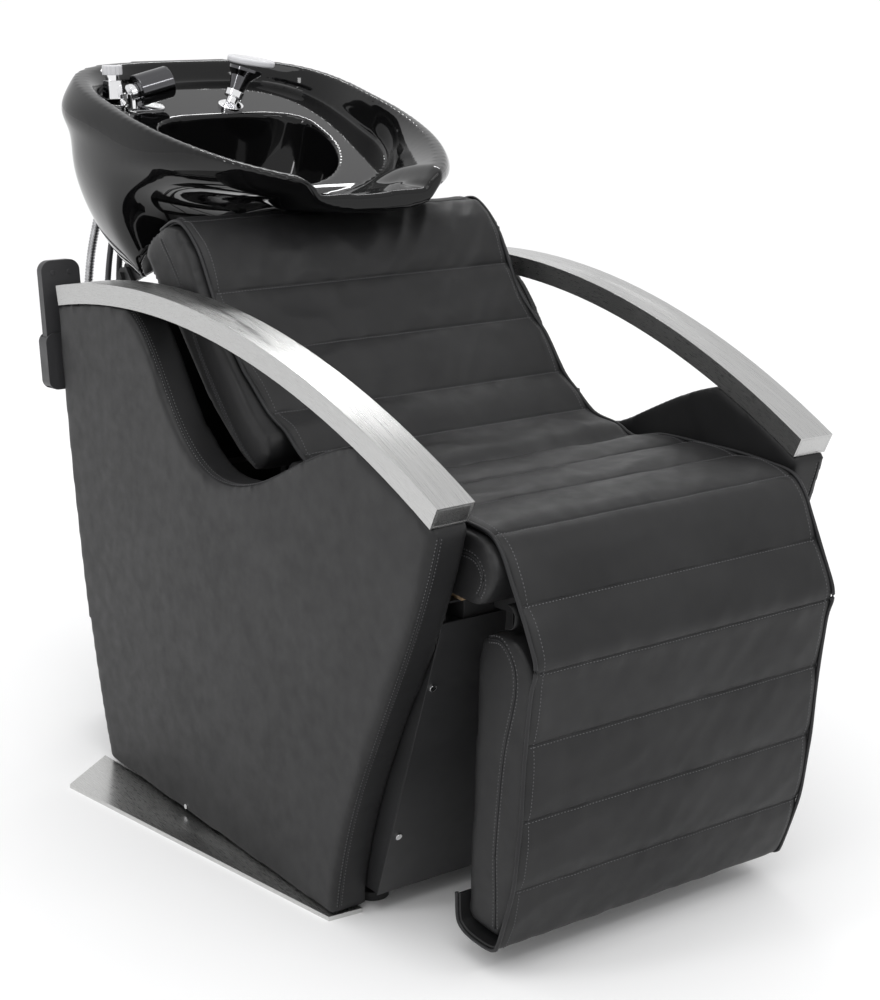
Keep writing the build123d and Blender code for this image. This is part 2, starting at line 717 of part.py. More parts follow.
# ---------------------------------------------------------------- bowl fittings
def deck_z(y):
    return DECK_Z + (y - BOWL_Y) * tan(radians(DECK_TILT))


VALVE_AT = (-160.0, 545.0)       # vacuum breaker on the deck (X, Y)
MIXER_AT = (-139.0, 518.0)
SPRAY_AT = (26.0, 512.0)
DIAL_TILT = 13.0                 # the dial's axis rises towards the right
DIAL_R = 24.5


def deck_plane_at(x, y, rise=0.0):
    """Plane on the deck at (X, Y), parallel to it."""
    normal = DECK_PLANE.z_dir
    return Plane((x, y + rise * normal.Y, deck_z(y) + rise * normal.Z), x_dir=(1, 0, 0), z_dir=normal)


def deck_holes():
    """Bores through the deck for the shanks of the three fittings."""
    with BuildPart() as bores:
        for x, y in (VALVE_AT, MIXER_AT, SPRAY_AT):
            with BuildSketch(deck_plane_at(x, y, -60)):
                Circle(9.3)
            extrude(amount=90)
    return bores.part


def vacuum_breaker():
    """Square chrome tower on an oval flange, with a fluted cap and a threaded shank."""
    x, y = VALVE_AT
    with BuildPart() as tower:
        with BuildSketch(deck_plane_at(x, y)):
            SlotOverall(44, 32, rotation=90)
        extrude(amount=5)
        with BuildSketch(Plane((x, y, deck_z(y) + 7))):
            RectangleRounded(27, 27, 3)
        with BuildSketch(Plane((x, y, deck_z(y) + 34))):
            RectangleRounded(23, 23, 3)
        loft()
        with BuildSketch(Plane((x, y, deck_z(y) + 34))):
            Circle(11)
        extrude(amount=9)
        with BuildSketch(deck_plane_at(x, y)):
            Circle(9)
        extrude(amount=-34)
    keep(tower, "vacuum_breaker")

    with BuildPart() as cap:
        with BuildSketch(Plane((x, y, deck_z(y) + 43))):
            Circle(15.5)
            with PolarLocations(16.5, 12):
                Circle(2.2, mode=Mode.SUBTRACT)
        extrude(amount=14)
        fillet(cap.faces().sort_by(Axis.Z)[-1].edges(), 1.2)
    keep(cap, "vacuum_breaker_cap")


def dial_plane(along):
    """Plane across the dial's axis, at a distance from the dial's left face."""
    axis = (cos(radians(DIAL_TILT)), 0, sin(radians(DIAL_TILT)))
    start = (MIXER_AT[0] + 6, MIXER_AT[1], deck_z(MIXER_AT[1]) + 28)
    origin = tuple(a + along * b for a, b in zip(start, axis))
    return Plane(origin, x_dir=(0, 1, 0), z_dir=axis)


def mixer():
    """Mixing valve: base on the deck, spindle housing, and the cylindrical dial."""
    x, y = MIXER_AT
    with BuildPart() as body:
        with BuildSketch(deck_plane_at(x + 22, y + 4)):
            SlotOverall(62, 26)
        extrude(amount=2.5)
        with BuildSketch(Plane((x - 2, y, deck_z(y) + 2))):
            Circle(8)
        extrude(amount=22)
        with BuildSketch(dial_plane(-13)):
            Circle(13)
        extrude(amount=12.4)
        with BuildSketch(dial_plane(-1)):
            Circle(6)
        extrude(amount=14)
        with BuildSketch(deck_plane_at(x, y)):
            Circle(9)
        extrude(amount=-30)
    keep(body, "mixer_body")

    with BuildPart() as dial:
        with BuildSketch(dial_plane(0)):
            Circle(DIAL_R)
        extrude(amount=56)
        fillet(dial.edges().filter_by(GeomType.CIRCLE), 1.5)
        with BuildSketch(dial_plane(-0.01)):
            Circle(6 + RUN_GAP)
        extrude(amount=14, mode=Mode.SUBTRACT)
    keep(dial, "mixer_dial")


SPRAY_LEAN = (0.46, 0.05, 0.886)         # the handle leans to the right
SPRAY_HEAD = (68.0, 519.0)               # centre of the rose (X, Y)


def spray_plane(along):
    """Plane across the spray's handle, at a distance above the deck."""
    x, y = SPRAY_AT
    start = (x, y, deck_z(y) + 4)
    origin = tuple(a + along * b for a, b in zip(start, SPRAY_LEAN))
    return Plane(origin, z_dir=SPRAY_LEAN)


def hand_spray():
    """Deck holder and the hand spray that stands in it."""
    with BuildPart() as holder:
        with BuildSketch(deck_plane_at(*SPRAY_AT)):
            Circle(20)
        extrude(amount=5)
        with BuildSketch(spray_plane(2)):
            Circle(9)
        extrude(amount=11)
        with BuildSketch(spray_plane(12.5)):
            Circle(15)
        extrude(amount=10)
        with BuildSketch(deck_plane_at(*SPRAY_AT)):
            Circle(9)
        extrude(amount=-34)
        with BuildSketch(spray_plane(14)):
            Circle(11.5 + PART_GAP)
        extrude(amount=30, mode=Mode.SUBTRACT)
    keep(holder, "spray_holder")

    tip = spray_plane(54).origin
    with BuildPart() as spray:
        sections = ((14.3, 10.6), (22, 11.5), (32, 13.5), (46, 16.5))
        for (low, low_r), (high, high_r) in zip(sections, sections[1:]):
            with BuildSketch(spray_plane(low)):
                Circle(low_r)
            with BuildSketch(spray_plane(high)):
                Circle(high_r)
            loft()
        with BuildSketch(spray_plane(46)):
            Circle(16.5)
        with BuildSketch(Plane(tip + Vector(5, 0, 3), z_dir=(0.28, -0.08, 0.95))):
            Circle(26)
        loft()
        with BuildSketch(Plane(tip + Vector(5, 0, 3), z_dir=(0.28, -0.08, 0.95))):
            Circle(26)
        extrude(amount=5)
    keep(spray, "spray_handle")

    with BuildPart() as head:
        with BuildSketch(Plane((*SPRAY_HEAD, deck_z(SPRAY_AT[1]) + 65), z_dir=(0.13, -0.1, 0.985))):
            Circle(38)
        extrude(amount=10)
        fillet(head.edges().filter_by(GeomType.CIRCLE), 3.5)
    keep(head, "spray_head")


# ---------------------------------------------------------------- bowl support and waste
PLATE_Z = 746.0                  # upper face of the bowl's carrier plate
CHEEK_X = 146.0                  # inner face of the carrier's cheeks
CHEEK = 6.0
BRACKET_X = CHEEK_X + CHEEK + 2.0


def bowl_column():
    """Rear posts, cross bar and the fixed bracket cheeks that hold the tilt pivot."""
    inner_x = RAIL_OUTER_X - RAIL
    bar_z = 600.0
    with BuildPart() as posts:
        for low_x in (-RAIL_OUTER_X, inner_x):
            tube_rail((low_x, RAIL_REAR_Y - RAIL, BASE_Z + RAIL), (low_x + RAIL, RAIL_REAR_Y, bar_z), 2)
        tube_rail((-RAIL_OUTER_X, RAIL_REAR_Y - RAIL, bar_z), (RAIL_OUTER_X, RAIL_REAR_Y, bar_z + RAIL), 0)
    keep(posts, "bowl_column")

    with BuildPart() as cheeks:
        for low_x in (BRACKET_X, -BRACKET_X - CHEEK):
            with BuildSketch(Plane.YZ.offset(low_x)):
                with BuildLine():
                    Polyline((RAIL_REAR_Y, 560), (RAIL_REAR_Y, 648), (528, 708), (PIVOT_Y, PIVOT_Z + 16),
                             (PIVOT_Y + 16, PIVOT_Z), (PIVOT_Y + 6, PIVOT_Z - 16), close=True)
                make_face()
                with Locations((PIVOT_Y, PIVOT_Z)):
                    Circle(16)
                    Circle(6, mode=Mode.SUBTRACT)
            extrude(amount=CHEEK)
        for low_x, high_x in ((-BRACKET_X, -BRACKET_X + 26), (BRACKET_X - 26, BRACKET_X)):
            box_between((low_x, RAIL_REAR_Y, 602), (high_x, RAIL_REAR_Y + 5, 628))
        for side in (-1, 1):
            with BuildSketch(Plane.YZ.offset(side * (CHEEK_X - 6))):
                with Locations((PIVOT_Y, PIVOT_Z)):
                    Circle(6)
            extrude(amount=side * 28)
            with BuildSketch(Plane.YZ.offset(side * (BRACKET_X + CHEEK))):
                with Locations((PIVOT_Y, PIVOT_Z)):
                    RegularPolygon(10, 6)
            extrude(amount=side * 7)
    keep(cheeks, "bowl_bracket")


def bowl_carrier():
    """Steel plate under the basin with two cheeks on the tilt pivot, and its rubber pads."""
    front_y, rear_y = 392.0, 500.0
    with BuildPart() as carrier:
        box_between((-CHEEK_X - CHEEK, front_y, PLATE_Z - 5), (CHEEK_X + CHEEK, rear_y, PLATE_Z))
        with BuildSketch(Plane.XY.offset(PLATE_Z - 5)):
            with Locations((0, DRAIN_Y)):
                Circle(36)
        extrude(amount=5, mode=Mode.SUBTRACT)
        for low_x in (CHEEK_X, -CHEEK_X - CHEEK):
            with BuildSketch(Plane.YZ.offset(low_x)):
                with BuildLine():
                    Polyline((front_y + 10, PLATE_Z), (front_y + 10, PLATE_Z - 16),
                             (PIVOT_Y - 14, PIVOT_Z - 8), (PIVOT_Y + 15, PIVOT_Z),
                             (PIVOT_Y + 10, PIVOT_Z + 18), (rear_y, PLATE_Z), close=True)
                make_face()
                with Locations((PIVOT_Y, PIVOT_Z)):
                    Circle(15)
                    Circle(6 + RUN_GAP, mode=Mode.SUBTRACT)
            extrude(amount=CHEEK)
    keep(carrier, "bowl_carrier")

    with BuildPart() as pads:
        for x in (-50, 50):
            for low_y, high_y in ((402, 424), (440, 460)):
                pad_top = 765.8 + 0.06 * (low_y - DRAIN_Y)
                box_between((x - 12, low_y, PLATE_Z), (x + 12, high_y, pad_top))
    keep(pads, "bowl_pads")


def waste():
    """Drain fitting with a lift-out hair strainer, corrugated waste hose, and bottle trap."""
    floor_z = 776.0
    with BuildPart() as drain:
        with BuildSketch(Plane.XY.offset(floor_z + 2)):
            with Locations((0, DRAIN_Y)):
                Circle(31)
        extrude(amount=2.5)
        with BuildSketch(Plane.XY.offset(724)):
            with Locations((0, DRAIN_Y)):
                Circle(DRAIN_R - 0.5)
        extrude(amount=floor_z + 3 - 724)
        with BuildSketch(Plane.XY.offset(740)):
            with Locations((0, DRAIN_Y)):
                Circle(32)
        extrude(amount=12)
        with BuildSketch(Plane.XY.offset(720)):
            with Locations((0, DRAIN_Y)):
                Circle(20)
        extrude(amount=80, mode=Mode.SUBTRACT)
    keep(drain, "drain_fitting")

    with BuildPart() as strainer:
        with BuildSketch(Plane.XY.offset(floor_z - 14)):
            with Locations((0, DRAIN_Y)):
                Circle(19)
                with PolarLocations(12, 8):
                    Circle(2.6, mode=Mode.SUBTRACT)
                with PolarLocations(5.6, 4):
                    Circle(1.8, mode=Mode.SUBTRACT)
        extrude(amount=2.5)
        with BuildSketch(Plane.XY.offset(floor_z - 12)):
            with Locations((0, DRAIN_Y)):
                Circle(3)
        extrude(amount=16)
        with Locations((0, DRAIN_Y, floor_z + 6)):
            Sphere(5)
    keep(strainer, "hair_strainer")

    hose_low, hose_high, trap_low = 330.0, 723.5, 215.0
    with BuildPart() as hose:
        with BuildSketch(Plane.XY.offset(hose_low)):
            with Locations((0, DRAIN_Y)):
                Circle(19.5)
                Circle(16.5, mode=Mode.SUBTRACT)
        extrude(amount=hose_high - hose_low)
    keep(hose, "waste_hose")

    with BuildPart() as trap:
        with BuildSketch(Plane.XY.offset(trap_low)):
            with Locations((0, DRAIN_Y)):
                Circle(34)
        extrude(amount=95)
        with BuildSketch(Plane.XY.offset(trap_low + 95)):
            with Locations((0, DRAIN_Y)):
                Circle(26)
        extrude(amount=hose_low - trap_low - 95)
        round_bar((0, DRAIN_Y + 20, trap_low + 75), 20, 68)
        round_bar((0, DRAIN_Y + 20, trap_low + 75), 16.5, 69, Mode.SUBTRACT)
    keep(trap, "waste_trap")


# ---------------------------------------------------------------- water supply
VALVE_X = 70.0
VALVE_Z = 170.0
SERVICE_Y = 458.0                # rear face of the service plate
HOSE_SIDE = 14.0                 # from the plate to the hose tails
THREAD_R = 10.48                 # half-inch inlet thread


def stop_valves():
    """Service plate between the rear posts, and the two stop valves with their levers."""
    inner_x = RAIL_OUTER_X - RAIL
    with BuildPart() as plate:
        box_between((-inner_x, SERVICE_Y - 3, 120), (inner_x, SERVICE_Y, 330))
        round_bar((0, SERVICE_Y - 10, 290), 21, 20, Mode.SUBTRACT)
        for x in (-VALVE_X, VALVE_X):
            round_bar((x, SERVICE_Y - 10, VALVE_Z), 13, 20, Mode.SUBTRACT)
    keep(plate, "service_plate")

    with BuildPart() as valves:
        for x in (-VALVE_X, VALVE_X):
            round_bar((x, SERVICE_Y - 14, VALVE_Z), 12.5, 14)
            round_bar((x, SERVICE_Y, VALVE_Z), 16, 30)
            round_bar((x, SERVICE_Y + 30, VALVE_Z), THREAD_R, 15)
            round_bar((x, SERVICE_Y + 18, VALVE_Z), 6, 28, Mode.SUBTRACT)
            with BuildSketch(Plane((x, SERVICE_Y + HOSE_SIDE, VALVE_Z + 8))):
                Circle(9)
            extrude(amount=22)
            with BuildSketch(Plane((x, SERVICE_Y + HOSE_SIDE, VALVE_Z - 8))):
                Circle(6)
            extrude(amount=-14)
            with BuildSketch(Plane((x, SERVICE_Y + HOSE_SIDE, VALVE_Z - 22))):
                Circle(9)
                with Locations((0, 16)):
                    RectangleRounded(9, 40, 4)
            extrude(amount=-5)
    keep(valves, "stop_valves")


def s_bend(start, end, count):
    """Points of a smooth S between two upright runs of hose; an odd count has no straight middle."""
    points = []
    for step in range(count + 1):
        share = step / count
        across = (1 - cos(pi * share)) / 2
        points.append((start[0] + across * (end[0] - start[0]), start[1] + across * (end[1] - start[1]),
                       start[2] + share * (end[2] - start[2])))
    return points


SPRAY_HOSE = [  # from under the vacuum breaker, down in a loop, up to the spray holder
    (-160, 553, 908), (-167, 558, 866), (-175, 565, 822), (-183, 577, 776), (-189, 592, 726),
    (-192, 603, 670), (-194, 609, 610), (-194, 611, 548), (-189, 610, 486), (-176, 608, 424),
    (-150, 605, 370), (-106, 602, 336), (-54, 598, 334), (-10, 594, 364), (13, 588, 416), (23, 581, 476),
    (28, 574, 538), (30, 567, 602), (30, 560, 666), (29, 552, 730), (28, 543, 794), (27, 534, 854),
    (26, 524, 908),
]
TAIL_Y = SERVICE_Y + HOSE_SIDE
SUPPLY_HOSES = {  # from the mixer's tails to the stop valves
    "hot_supply_hose": [
        (-148, 528, 915), (-153, 534, 868), (-160, 541, 818), (-168, 550, 766), (-175, 558, 710),
        (-179, 562, 652), (-179, 563, 592), *s_bend((-177, 563, 536), (-VALVE_X, TAIL_Y, 222), 7),
        (-VALVE_X, TAIL_Y, 200.4)],
    "cold_supply_hose": [
        (-130, 528, 915), (-135, 535, 868), (-142, 544, 818), (-149, 555, 766), (-154, 565, 710),
        (-154, 571, 652), *s_bend((-150, 574, 596), (VALVE_X, TAIL_Y, 222), 9),
        (VALVE_X, TAIL_Y, 200.4)],
}


def route_radii(points):
    """Largest tangent arc at each inner point: 0.45 of the shorter run over the tangent of half the turn."""
    radii = []
    for before, here, after in zip(points, points[1:], points[2:]):
        run_in = Vector(*here) - Vector(*before)
        run_out = Vector(*after) - Vector(*here)
        half_turn = radians(run_in.get_angle(run_out)) / 2
        radii.append(0.45 * min(run_in.length, run_out.length) / tan(half_turn))
    return radii


def hose(points, radius, name):
    """Round hose along straight runs joined by tangent arcs."""
    radii = route_radii(points)
    with BuildPart() as tube:
        with BuildLine() as route:
            FilletPolyline(*points, radius=radii)
        with BuildSketch(Plane(points[0], z_dir=Vector(*points[1]) - Vector(*points[0]))):
            Circle(radius)
        sweep(path=route.wires()[0])
    expected = pi * radius**2 * route.wires()[0].length
    print(name, "length", round(route.wires()[0].length), "radii", [round(r) for r in radii],
          "volume ratio", round(tube.part.volume / expected, 4))
    keep(tube, name)


def hoses():
    hose(SPRAY_HOSE, 7.0, "spray_hose")
    for name, points in SUPPLY_HOSES.items():
        hose(points, 5.0, name)


if __name__ == "__main__":
    side_panels()
    armrests()
    floor_plates()
    base_frame()
    back_supports()
    boards()
    covers()
    feet()
    seat_and_back()
    overlay_mat()
    leg_rest()
    hinge_mounts()
    hinge_gaiter()
    actuator()
    electrics()
    handset()
    bowl()
    vacuum_breaker()
    mixer()
    hand_spray()
    bowl_column()
    bowl_carrier()
    waste()
    stop_valves()
    hoses()
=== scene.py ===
"""Looks of the salon backwash unit: upholstery, quilted mat, glazed bowl, brushed steel and hoses.

Metres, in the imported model's frame: X across, Y from the leg rest (-) to the bowl (+), Z up.
"""
import json
from math import cos, pi, radians, sin

import bmesh
import bpy
import numpy as np
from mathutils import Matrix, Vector, noise
from mathutils.bvhtree import BVHTree


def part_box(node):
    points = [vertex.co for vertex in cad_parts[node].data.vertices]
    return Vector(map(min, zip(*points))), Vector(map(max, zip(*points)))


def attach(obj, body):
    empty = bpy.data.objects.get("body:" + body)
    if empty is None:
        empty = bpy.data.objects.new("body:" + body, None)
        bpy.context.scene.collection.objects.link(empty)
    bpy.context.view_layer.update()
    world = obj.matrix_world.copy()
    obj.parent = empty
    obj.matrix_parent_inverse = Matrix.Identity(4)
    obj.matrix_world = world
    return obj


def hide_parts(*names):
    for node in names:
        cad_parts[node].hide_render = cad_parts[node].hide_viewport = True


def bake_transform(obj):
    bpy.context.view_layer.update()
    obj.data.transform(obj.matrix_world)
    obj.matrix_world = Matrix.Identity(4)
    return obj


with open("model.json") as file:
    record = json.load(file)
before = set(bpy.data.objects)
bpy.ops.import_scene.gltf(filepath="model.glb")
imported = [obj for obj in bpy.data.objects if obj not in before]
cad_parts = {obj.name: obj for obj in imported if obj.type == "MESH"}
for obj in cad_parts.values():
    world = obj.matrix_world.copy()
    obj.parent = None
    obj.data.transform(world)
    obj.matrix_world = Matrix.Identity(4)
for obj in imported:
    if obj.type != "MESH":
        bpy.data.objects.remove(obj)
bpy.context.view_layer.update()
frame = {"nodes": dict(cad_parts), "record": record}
NODES = frame["nodes"]
SLOT_OF = {entry["node"]: entry["material_slot"] for entry in frame["record"]["subparts"]}

ARM_CENTRE = Vector((0, 0.0872, -0.7198))   # centre of the armrest's arc
STITCH_STEP = 0.0046


# ---------------------------------------------------------------- materials
class Shader:
    """A material's node tree, with short calls for the nodes that the finishes share."""

    def __init__(self, name, colour, roughness, metallic=0.0, **inputs):
        self.material = bpy.data.materials.new(name)
        self.material.use_nodes = True
        self.tree = self.material.node_tree
        self.shader = self.tree.nodes["Principled BSDF"]
        self.shader.inputs["Base Color"].default_value = (*colour, 1.0)
        self.shader.inputs["Roughness"].default_value = roughness
        self.shader.inputs["Metallic"].default_value = metallic
        for socket, value in inputs.items():
            self.shader.inputs[socket.replace("_", " ")].default_value = value
        self.bump = None

    def node(self, kind, **settings):
        made = self.tree.nodes.new(kind)
        for key, value in settings.items():
            setattr(made, key, value)
        return made

    def link(self, start, end):
        self.tree.links.new(start, end)

    def coordinates(self, scale=(1, 1, 1)):
        place = self.node("ShaderNodeTexCoord")
        mapping = self.node("ShaderNodeMapping")
        mapping.inputs["Scale"].default_value = scale
        self.link(place.outputs["Object"], mapping.inputs["Vector"])
        return mapping.outputs["Vector"]

    def noise(self, scale, detail=3.0, stretch=(1, 1, 1)):
        texture = self.node("ShaderNodeTexNoise")
        texture.inputs["Scale"].default_value = scale
        texture.inputs["Detail"].default_value = detail
        self.link(self.coordinates(stretch), texture.inputs["Vector"])
        return texture.outputs["Fac"]

    def cells(self, scale, stretch=(1, 1, 1)):
        texture = self.node("ShaderNodeTexVoronoi")
        texture.inputs["Scale"].default_value = scale
        self.link(self.coordinates(stretch), texture.inputs["Vector"])
        return texture.outputs["Distance"]

    def ramp(self, value, low, high):
        spread = self.node("ShaderNodeMapRange")
        spread.inputs["To Min"].default_value = low
        spread.inputs["To Max"].default_value = high
        spread.inputs["From Min"].default_value = 0.3
        spread.inputs["From Max"].default_value = 0.7
        self.link(value, spread.inputs["Value"])
        return spread.outputs["Result"]

    def add_bump(self, height, distance, strength=1.0):
        bump = self.node("ShaderNodeBump")
        bump.inputs["Distance"].default_value = distance
        bump.inputs["Strength"].default_value = strength
        self.link(height, bump.inputs["Height"])
        if self.bump is not None:
            self.link(self.bump.outputs["Normal"], bump.inputs["Normal"])
        self.bump = bump
        self.link(bump.outputs["Normal"], self.shader.inputs["Normal"])

    def soften_edges(self, radius):
        """Rounded look on the hard edges of a machined piece."""
        bevel = self.node("ShaderNodeBevel", samples=6)
        bevel.inputs["Radius"].default_value = radius
        target = self.bump.inputs["Normal"] if self.bump else self.shader.inputs["Normal"]
        self.link(bevel.outputs["Normal"], target)

    def vary_roughness(self, value, low, high):
        self.link(self.ramp(value, low, high), self.shader.inputs["Roughness"])

    def vary_colour(self, value, dark, light):
        blend = self.node("ShaderNodeMix", data_type="RGBA")
        blend.inputs["A"].default_value = (*dark, 1.0)
        blend.inputs["B"].default_value = (*light, 1.0)
        self.link(self.ramp(value, 0.0, 1.0), blend.inputs["Factor"])
        self.link(blend.outputs["Result"], self.shader.inputs["Base Color"])


def vinyl(name, dark, light, roughness):
    """Upholstery vinyl: fine pebble grain over a soft unevenness."""
    made = Shader(name, light, roughness, Specular_IOR_Level=0.26, Coat_Weight=0.02,
                  Coat_Roughness=0.35)
    made.vary_colour(made.noise(9.0), dark, light)
    made.vary_roughness(made.noise(45.0, 4.0), roughness - 0.05, roughness + 0.07)
    made.add_bump(made.noise(26.0, 2.0), 0.0006, 0.35)
    made.add_bump(made.cells(1300.0), 0.00012, 0.7)
    return made.material


def brushed(name, colour, stretch, roughness=0.27):
    """Steel brushed in a straight line: the noise is drawn out along the smallest stretch."""
    made = Shader(name, colour, roughness, 1.0, Anisotropic=0.55)
    grain = made.noise(60.0, 5.0, stretch)
    made.vary_roughness(grain, roughness - 0.06, roughness + 0.09)
    made.vary_colour(made.noise(30.0, 4.0, stretch), tuple(c * 0.86 for c in colour), colour)
    made.add_bump(grain, 0.00004, 0.6)
    made.soften_edges(0.0012)
    return made.material


def brushed_arm():
    """Brushed along the armrest's arc: the grain varies across the bar, and hardly along it."""
    made = Shader("steel_brushed_arc", (0.60, 0.60, 0.595), 0.3, 1.0, Anisotropic=0.5)
    split = made.node("ShaderNodeSeparateXYZ")
    made.link(made.coordinates(), split.inputs[0])
    squares = []
    for socket, centre in (("Y", ARM_CENTRE.y), ("Z", ARM_CENTRE.z)):
        shifted = made.node("ShaderNodeMath", operation="SUBTRACT")
        shifted.inputs[1].default_value = centre
        made.link(split.outputs[socket], shifted.inputs[0])
        square = made.node("ShaderNodeMath", operation="POWER")
        square.inputs[1].default_value = 2.0
        made.link(shifted.outputs[0], square.inputs[0])
        squares.append(square.outputs[0])
    total = made.node("ShaderNodeMath", operation="ADD")
    made.link(squares[0], total.inputs[0])
    made.link(squares[1], total.inputs[1])
    reach = made.node("ShaderNodeMath", operation="SQRT")
    made.link(total.outputs[0], reach.inputs[0])
    along = made.node("ShaderNodeMath", operation="MULTIPLY")
    along.inputs[1].default_value = 0.012
    made.link(split.outputs["Y"], along.inputs[0])
    joined = made.node("ShaderNodeCombineXYZ")
    made.link(split.outputs["X"], joined.inputs[0])
    made.link(reach.outputs[0], joined.inputs[1])
    made.link(along.outputs[0], joined.inputs[2])
    grain = made.node("ShaderNodeTexNoise")
    grain.inputs["Scale"].default_value = 1600.0
    grain.inputs["Detail"].default_value = 3.0
    made.link(joined.outputs[0], grain.inputs["Vector"])
    made.vary_roughness(grain.outputs["Fac"], 0.25, 0.34)
    made.vary_colour(grain.outputs["Fac"], (0.44, 0.44, 0.435), (0.54, 0.54, 0.535))
    made.add_bump(grain.outputs["Fac"], 0.00002, 0.5)
    made.soften_edges(0.0009)
    return made.material


def polished(name, colour, roughness, edge=0.0008):
    made = Shader(name, colour, roughness, 1.0)
    made.vary_roughness(made.noise(70.0), roughness, roughness + 0.05)
    made.soften_edges(edge)
    return made.material


def coated(name, colour, roughness, grain=900.0, depth=0.00005):
    """Powder coat or moulded plastic with a fine texture."""
    made = Shader(name, colour, roughness, Specular_IOR_Level=0.45)
    made.vary_colour(made.noise(14.0), tuple(c * 0.8 for c in colour), colour)
    made.vary_roughness(made.noise(40.0), roughness - 0.05, roughness + 0.06)
    made.add_bump(made.noise(grain, 2.0), depth, 0.8)
    made.soften_edges(0.001)
    return made.material


def glazed():
    """Black vitreous glaze with a barely uneven surface."""
    made = Shader("glaze_black", (0.003, 0.003, 0.0032), 0.05, Specular_IOR_Level=0.30,
                  Coat_Weight=0.06, Coat_Roughness=0.02)
    made.vary_roughness(made.noise(12.0), 0.02, 0.06)
    made.add_bump(made.noise(7.0, 1.0), 0.0012, 0.12)
    return made.material


def plywood():
    """Bare board with its veneer's grain."""
    made = Shader("plywood", (0.45, 0.33, 0.2), 0.6)
    made.vary_colour(made.noise(12.0, 6.0, (1, 14, 1)), (0.3, 0.2, 0.11), (0.52, 0.38, 0.24))
    made.add_bump(made.noise(40.0, 3.0, (1, 14, 1)), 0.0002)
    return made.material


def hose_skin(name, colour, roughness, metallic):
    """Skin of a hose. Its ribs are in the mesh."""
    made = Shader(name, colour, roughness, metallic)
    made.vary_colour(made.noise(80.0), tuple(c * 0.7 for c in colour), colour)
    return made.material


FINISH = {
    "vinyl": vinyl("vinyl_black", (0.010, 0.010, 0.0105), (0.016, 0.016, 0.0165), 0.45),
    "mat_vinyl": vinyl("vinyl_mat", (0.011, 0.011, 0.0115), (0.018, 0.018, 0.0185), 0.47),
    "glaze": glazed(),
    "brushed": brushed("steel_brushed", (0.62, 0.62, 0.61), (40, 1.2, 40)),
    "chrome": polished("chrome", (0.86, 0.86, 0.87), 0.05),
    "dark_chrome": polished("chrome_smoked", (0.10, 0.10, 0.105), 0.09),
    "frame_paint": coated("frame_powder_coat", (0.03, 0.03, 0.031), 0.5),
    "cover_paint": coated("cover_satin", (0.022, 0.022, 0.023), 0.42, 600.0, 0.00003),
    "plastic": coated("plastic_black", (0.03, 0.03, 0.032), 0.45),
    "pale_plastic": coated("plastic_pale", (0.66, 0.66, 0.68), 0.25, 300.0, 0.00001),
    "rubber": coated("rubber_black", (0.02, 0.02, 0.02), 0.75),
    "plywood": plywood(),
    "hose_steel": hose_skin("hose_steel", (0.45, 0.45, 0.46), 0.3, 1.0),
    "hose_braid": hose_skin("hose_braid", (0.07, 0.07, 0.075), 0.42, 0.4),
    "waste_plastic": coated("waste_plastic", (0.30, 0.30, 0.31), 0.5),
}
THREAD = coated("thread", (0.11, 0.11, 0.115), 0.6)
ARM_STEEL = brushed_arm()
PIPING = vinyl("vinyl_piping", (0.012, 0.012, 0.013), (0.02, 0.02, 0.021), 0.4)

for node_name, node_object in NODES.items():
    node_object.data.materials.clear()
    arm = node_name.startswith("armrest")
    node_object.data.materials.append(ARM_STEEL if arm else FINISH[SLOT_OF[node_name]])
    node_object.data.polygons.foreach_set("use_smooth", [True] * len(node_object.data.polygons))
    node_object.data.set_sharp_from_angle(angle=radians(35))


# ---------------------------------------------------------------- mesh helpers
def add_piece(name, vertices, faces, slot_name, material=None):
    mesh = bpy.data.meshes.new(name)
    mesh.from_pydata([tuple(v) for v in vertices], [], faces)
    mesh.update()
    piece = bpy.data.objects.new(name, mesh)
    bpy.context.scene.collection.objects.link(piece)
    mesh.materials.append(material or FINISH[slot_name])
    mesh.polygons.foreach_set("use_smooth", [True] * len(mesh.polygons))
    return piece


def apply_modifier(piece, kind, **settings):
    """Adds a modifier to a piece and applies it."""
    modifier = piece.modifiers.new("step", kind)
    for key, value in settings.items():
        setattr(modifier, key, value)
    with bpy.context.temp_override(object=piece, active_object=piece, selected_objects=[piece]):
        bpy.ops.object.modifier_apply(modifier=modifier.name)


def smooth_step(share):
    return share * share * (3 - 2 * share)


def softened(name, nodes, voxel, rounds, crown=0.0, wrinkle=0.0):
    """A rounded copy of CAD solids: edges relax, broad faces crown outwards and wrinkle a little."""
    made = bmesh.new()
    for node in nodes:
        made.from_mesh(NODES[node].data)
    mesh = bpy.data.meshes.new(name)
    made.to_mesh(mesh)
    made.free()
    piece = bpy.data.objects.new(name, mesh)
    bpy.context.scene.collection.objects.link(piece)
    apply_modifier(piece, "REMESH", mode="VOXEL", voxel_size=voxel, use_smooth_shade=True)
    apply_modifier(piece, "SMOOTH", factor=0.5, iterations=rounds)
    if crown or wrinkle:
        places = np.array([tuple(v.co) for v in piece.data.vertices])
        normals = np.array([tuple(v.normal) for v in piece.data.vertices])
        low, high = places.min(0), places.max(0)
        across = (places - low) / (high - low)
        bow = np.sqrt(np.clip(3.2 * across * (1 - across), 0.0, 1.0))
        inner = np.where(np.abs(normals) < 0.5, bow, 1.0).prod(1)
        folds = np.array([noise.noise(Vector(p * (9, 7, 7))) for p in places])
        places += normals * (crown * inner + wrinkle * folds)[:, None]
        piece.data.vertices.foreach_set("co", places.ravel())
        piece.data.update()
    piece.data.materials.clear()
    piece.data.materials.append(FINISH[SLOT_OF[nodes[0]]])
    piece.data.polygons.foreach_set("use_smooth", [True] * len(piece.data.polygons))
    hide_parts(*nodes)
    return piece


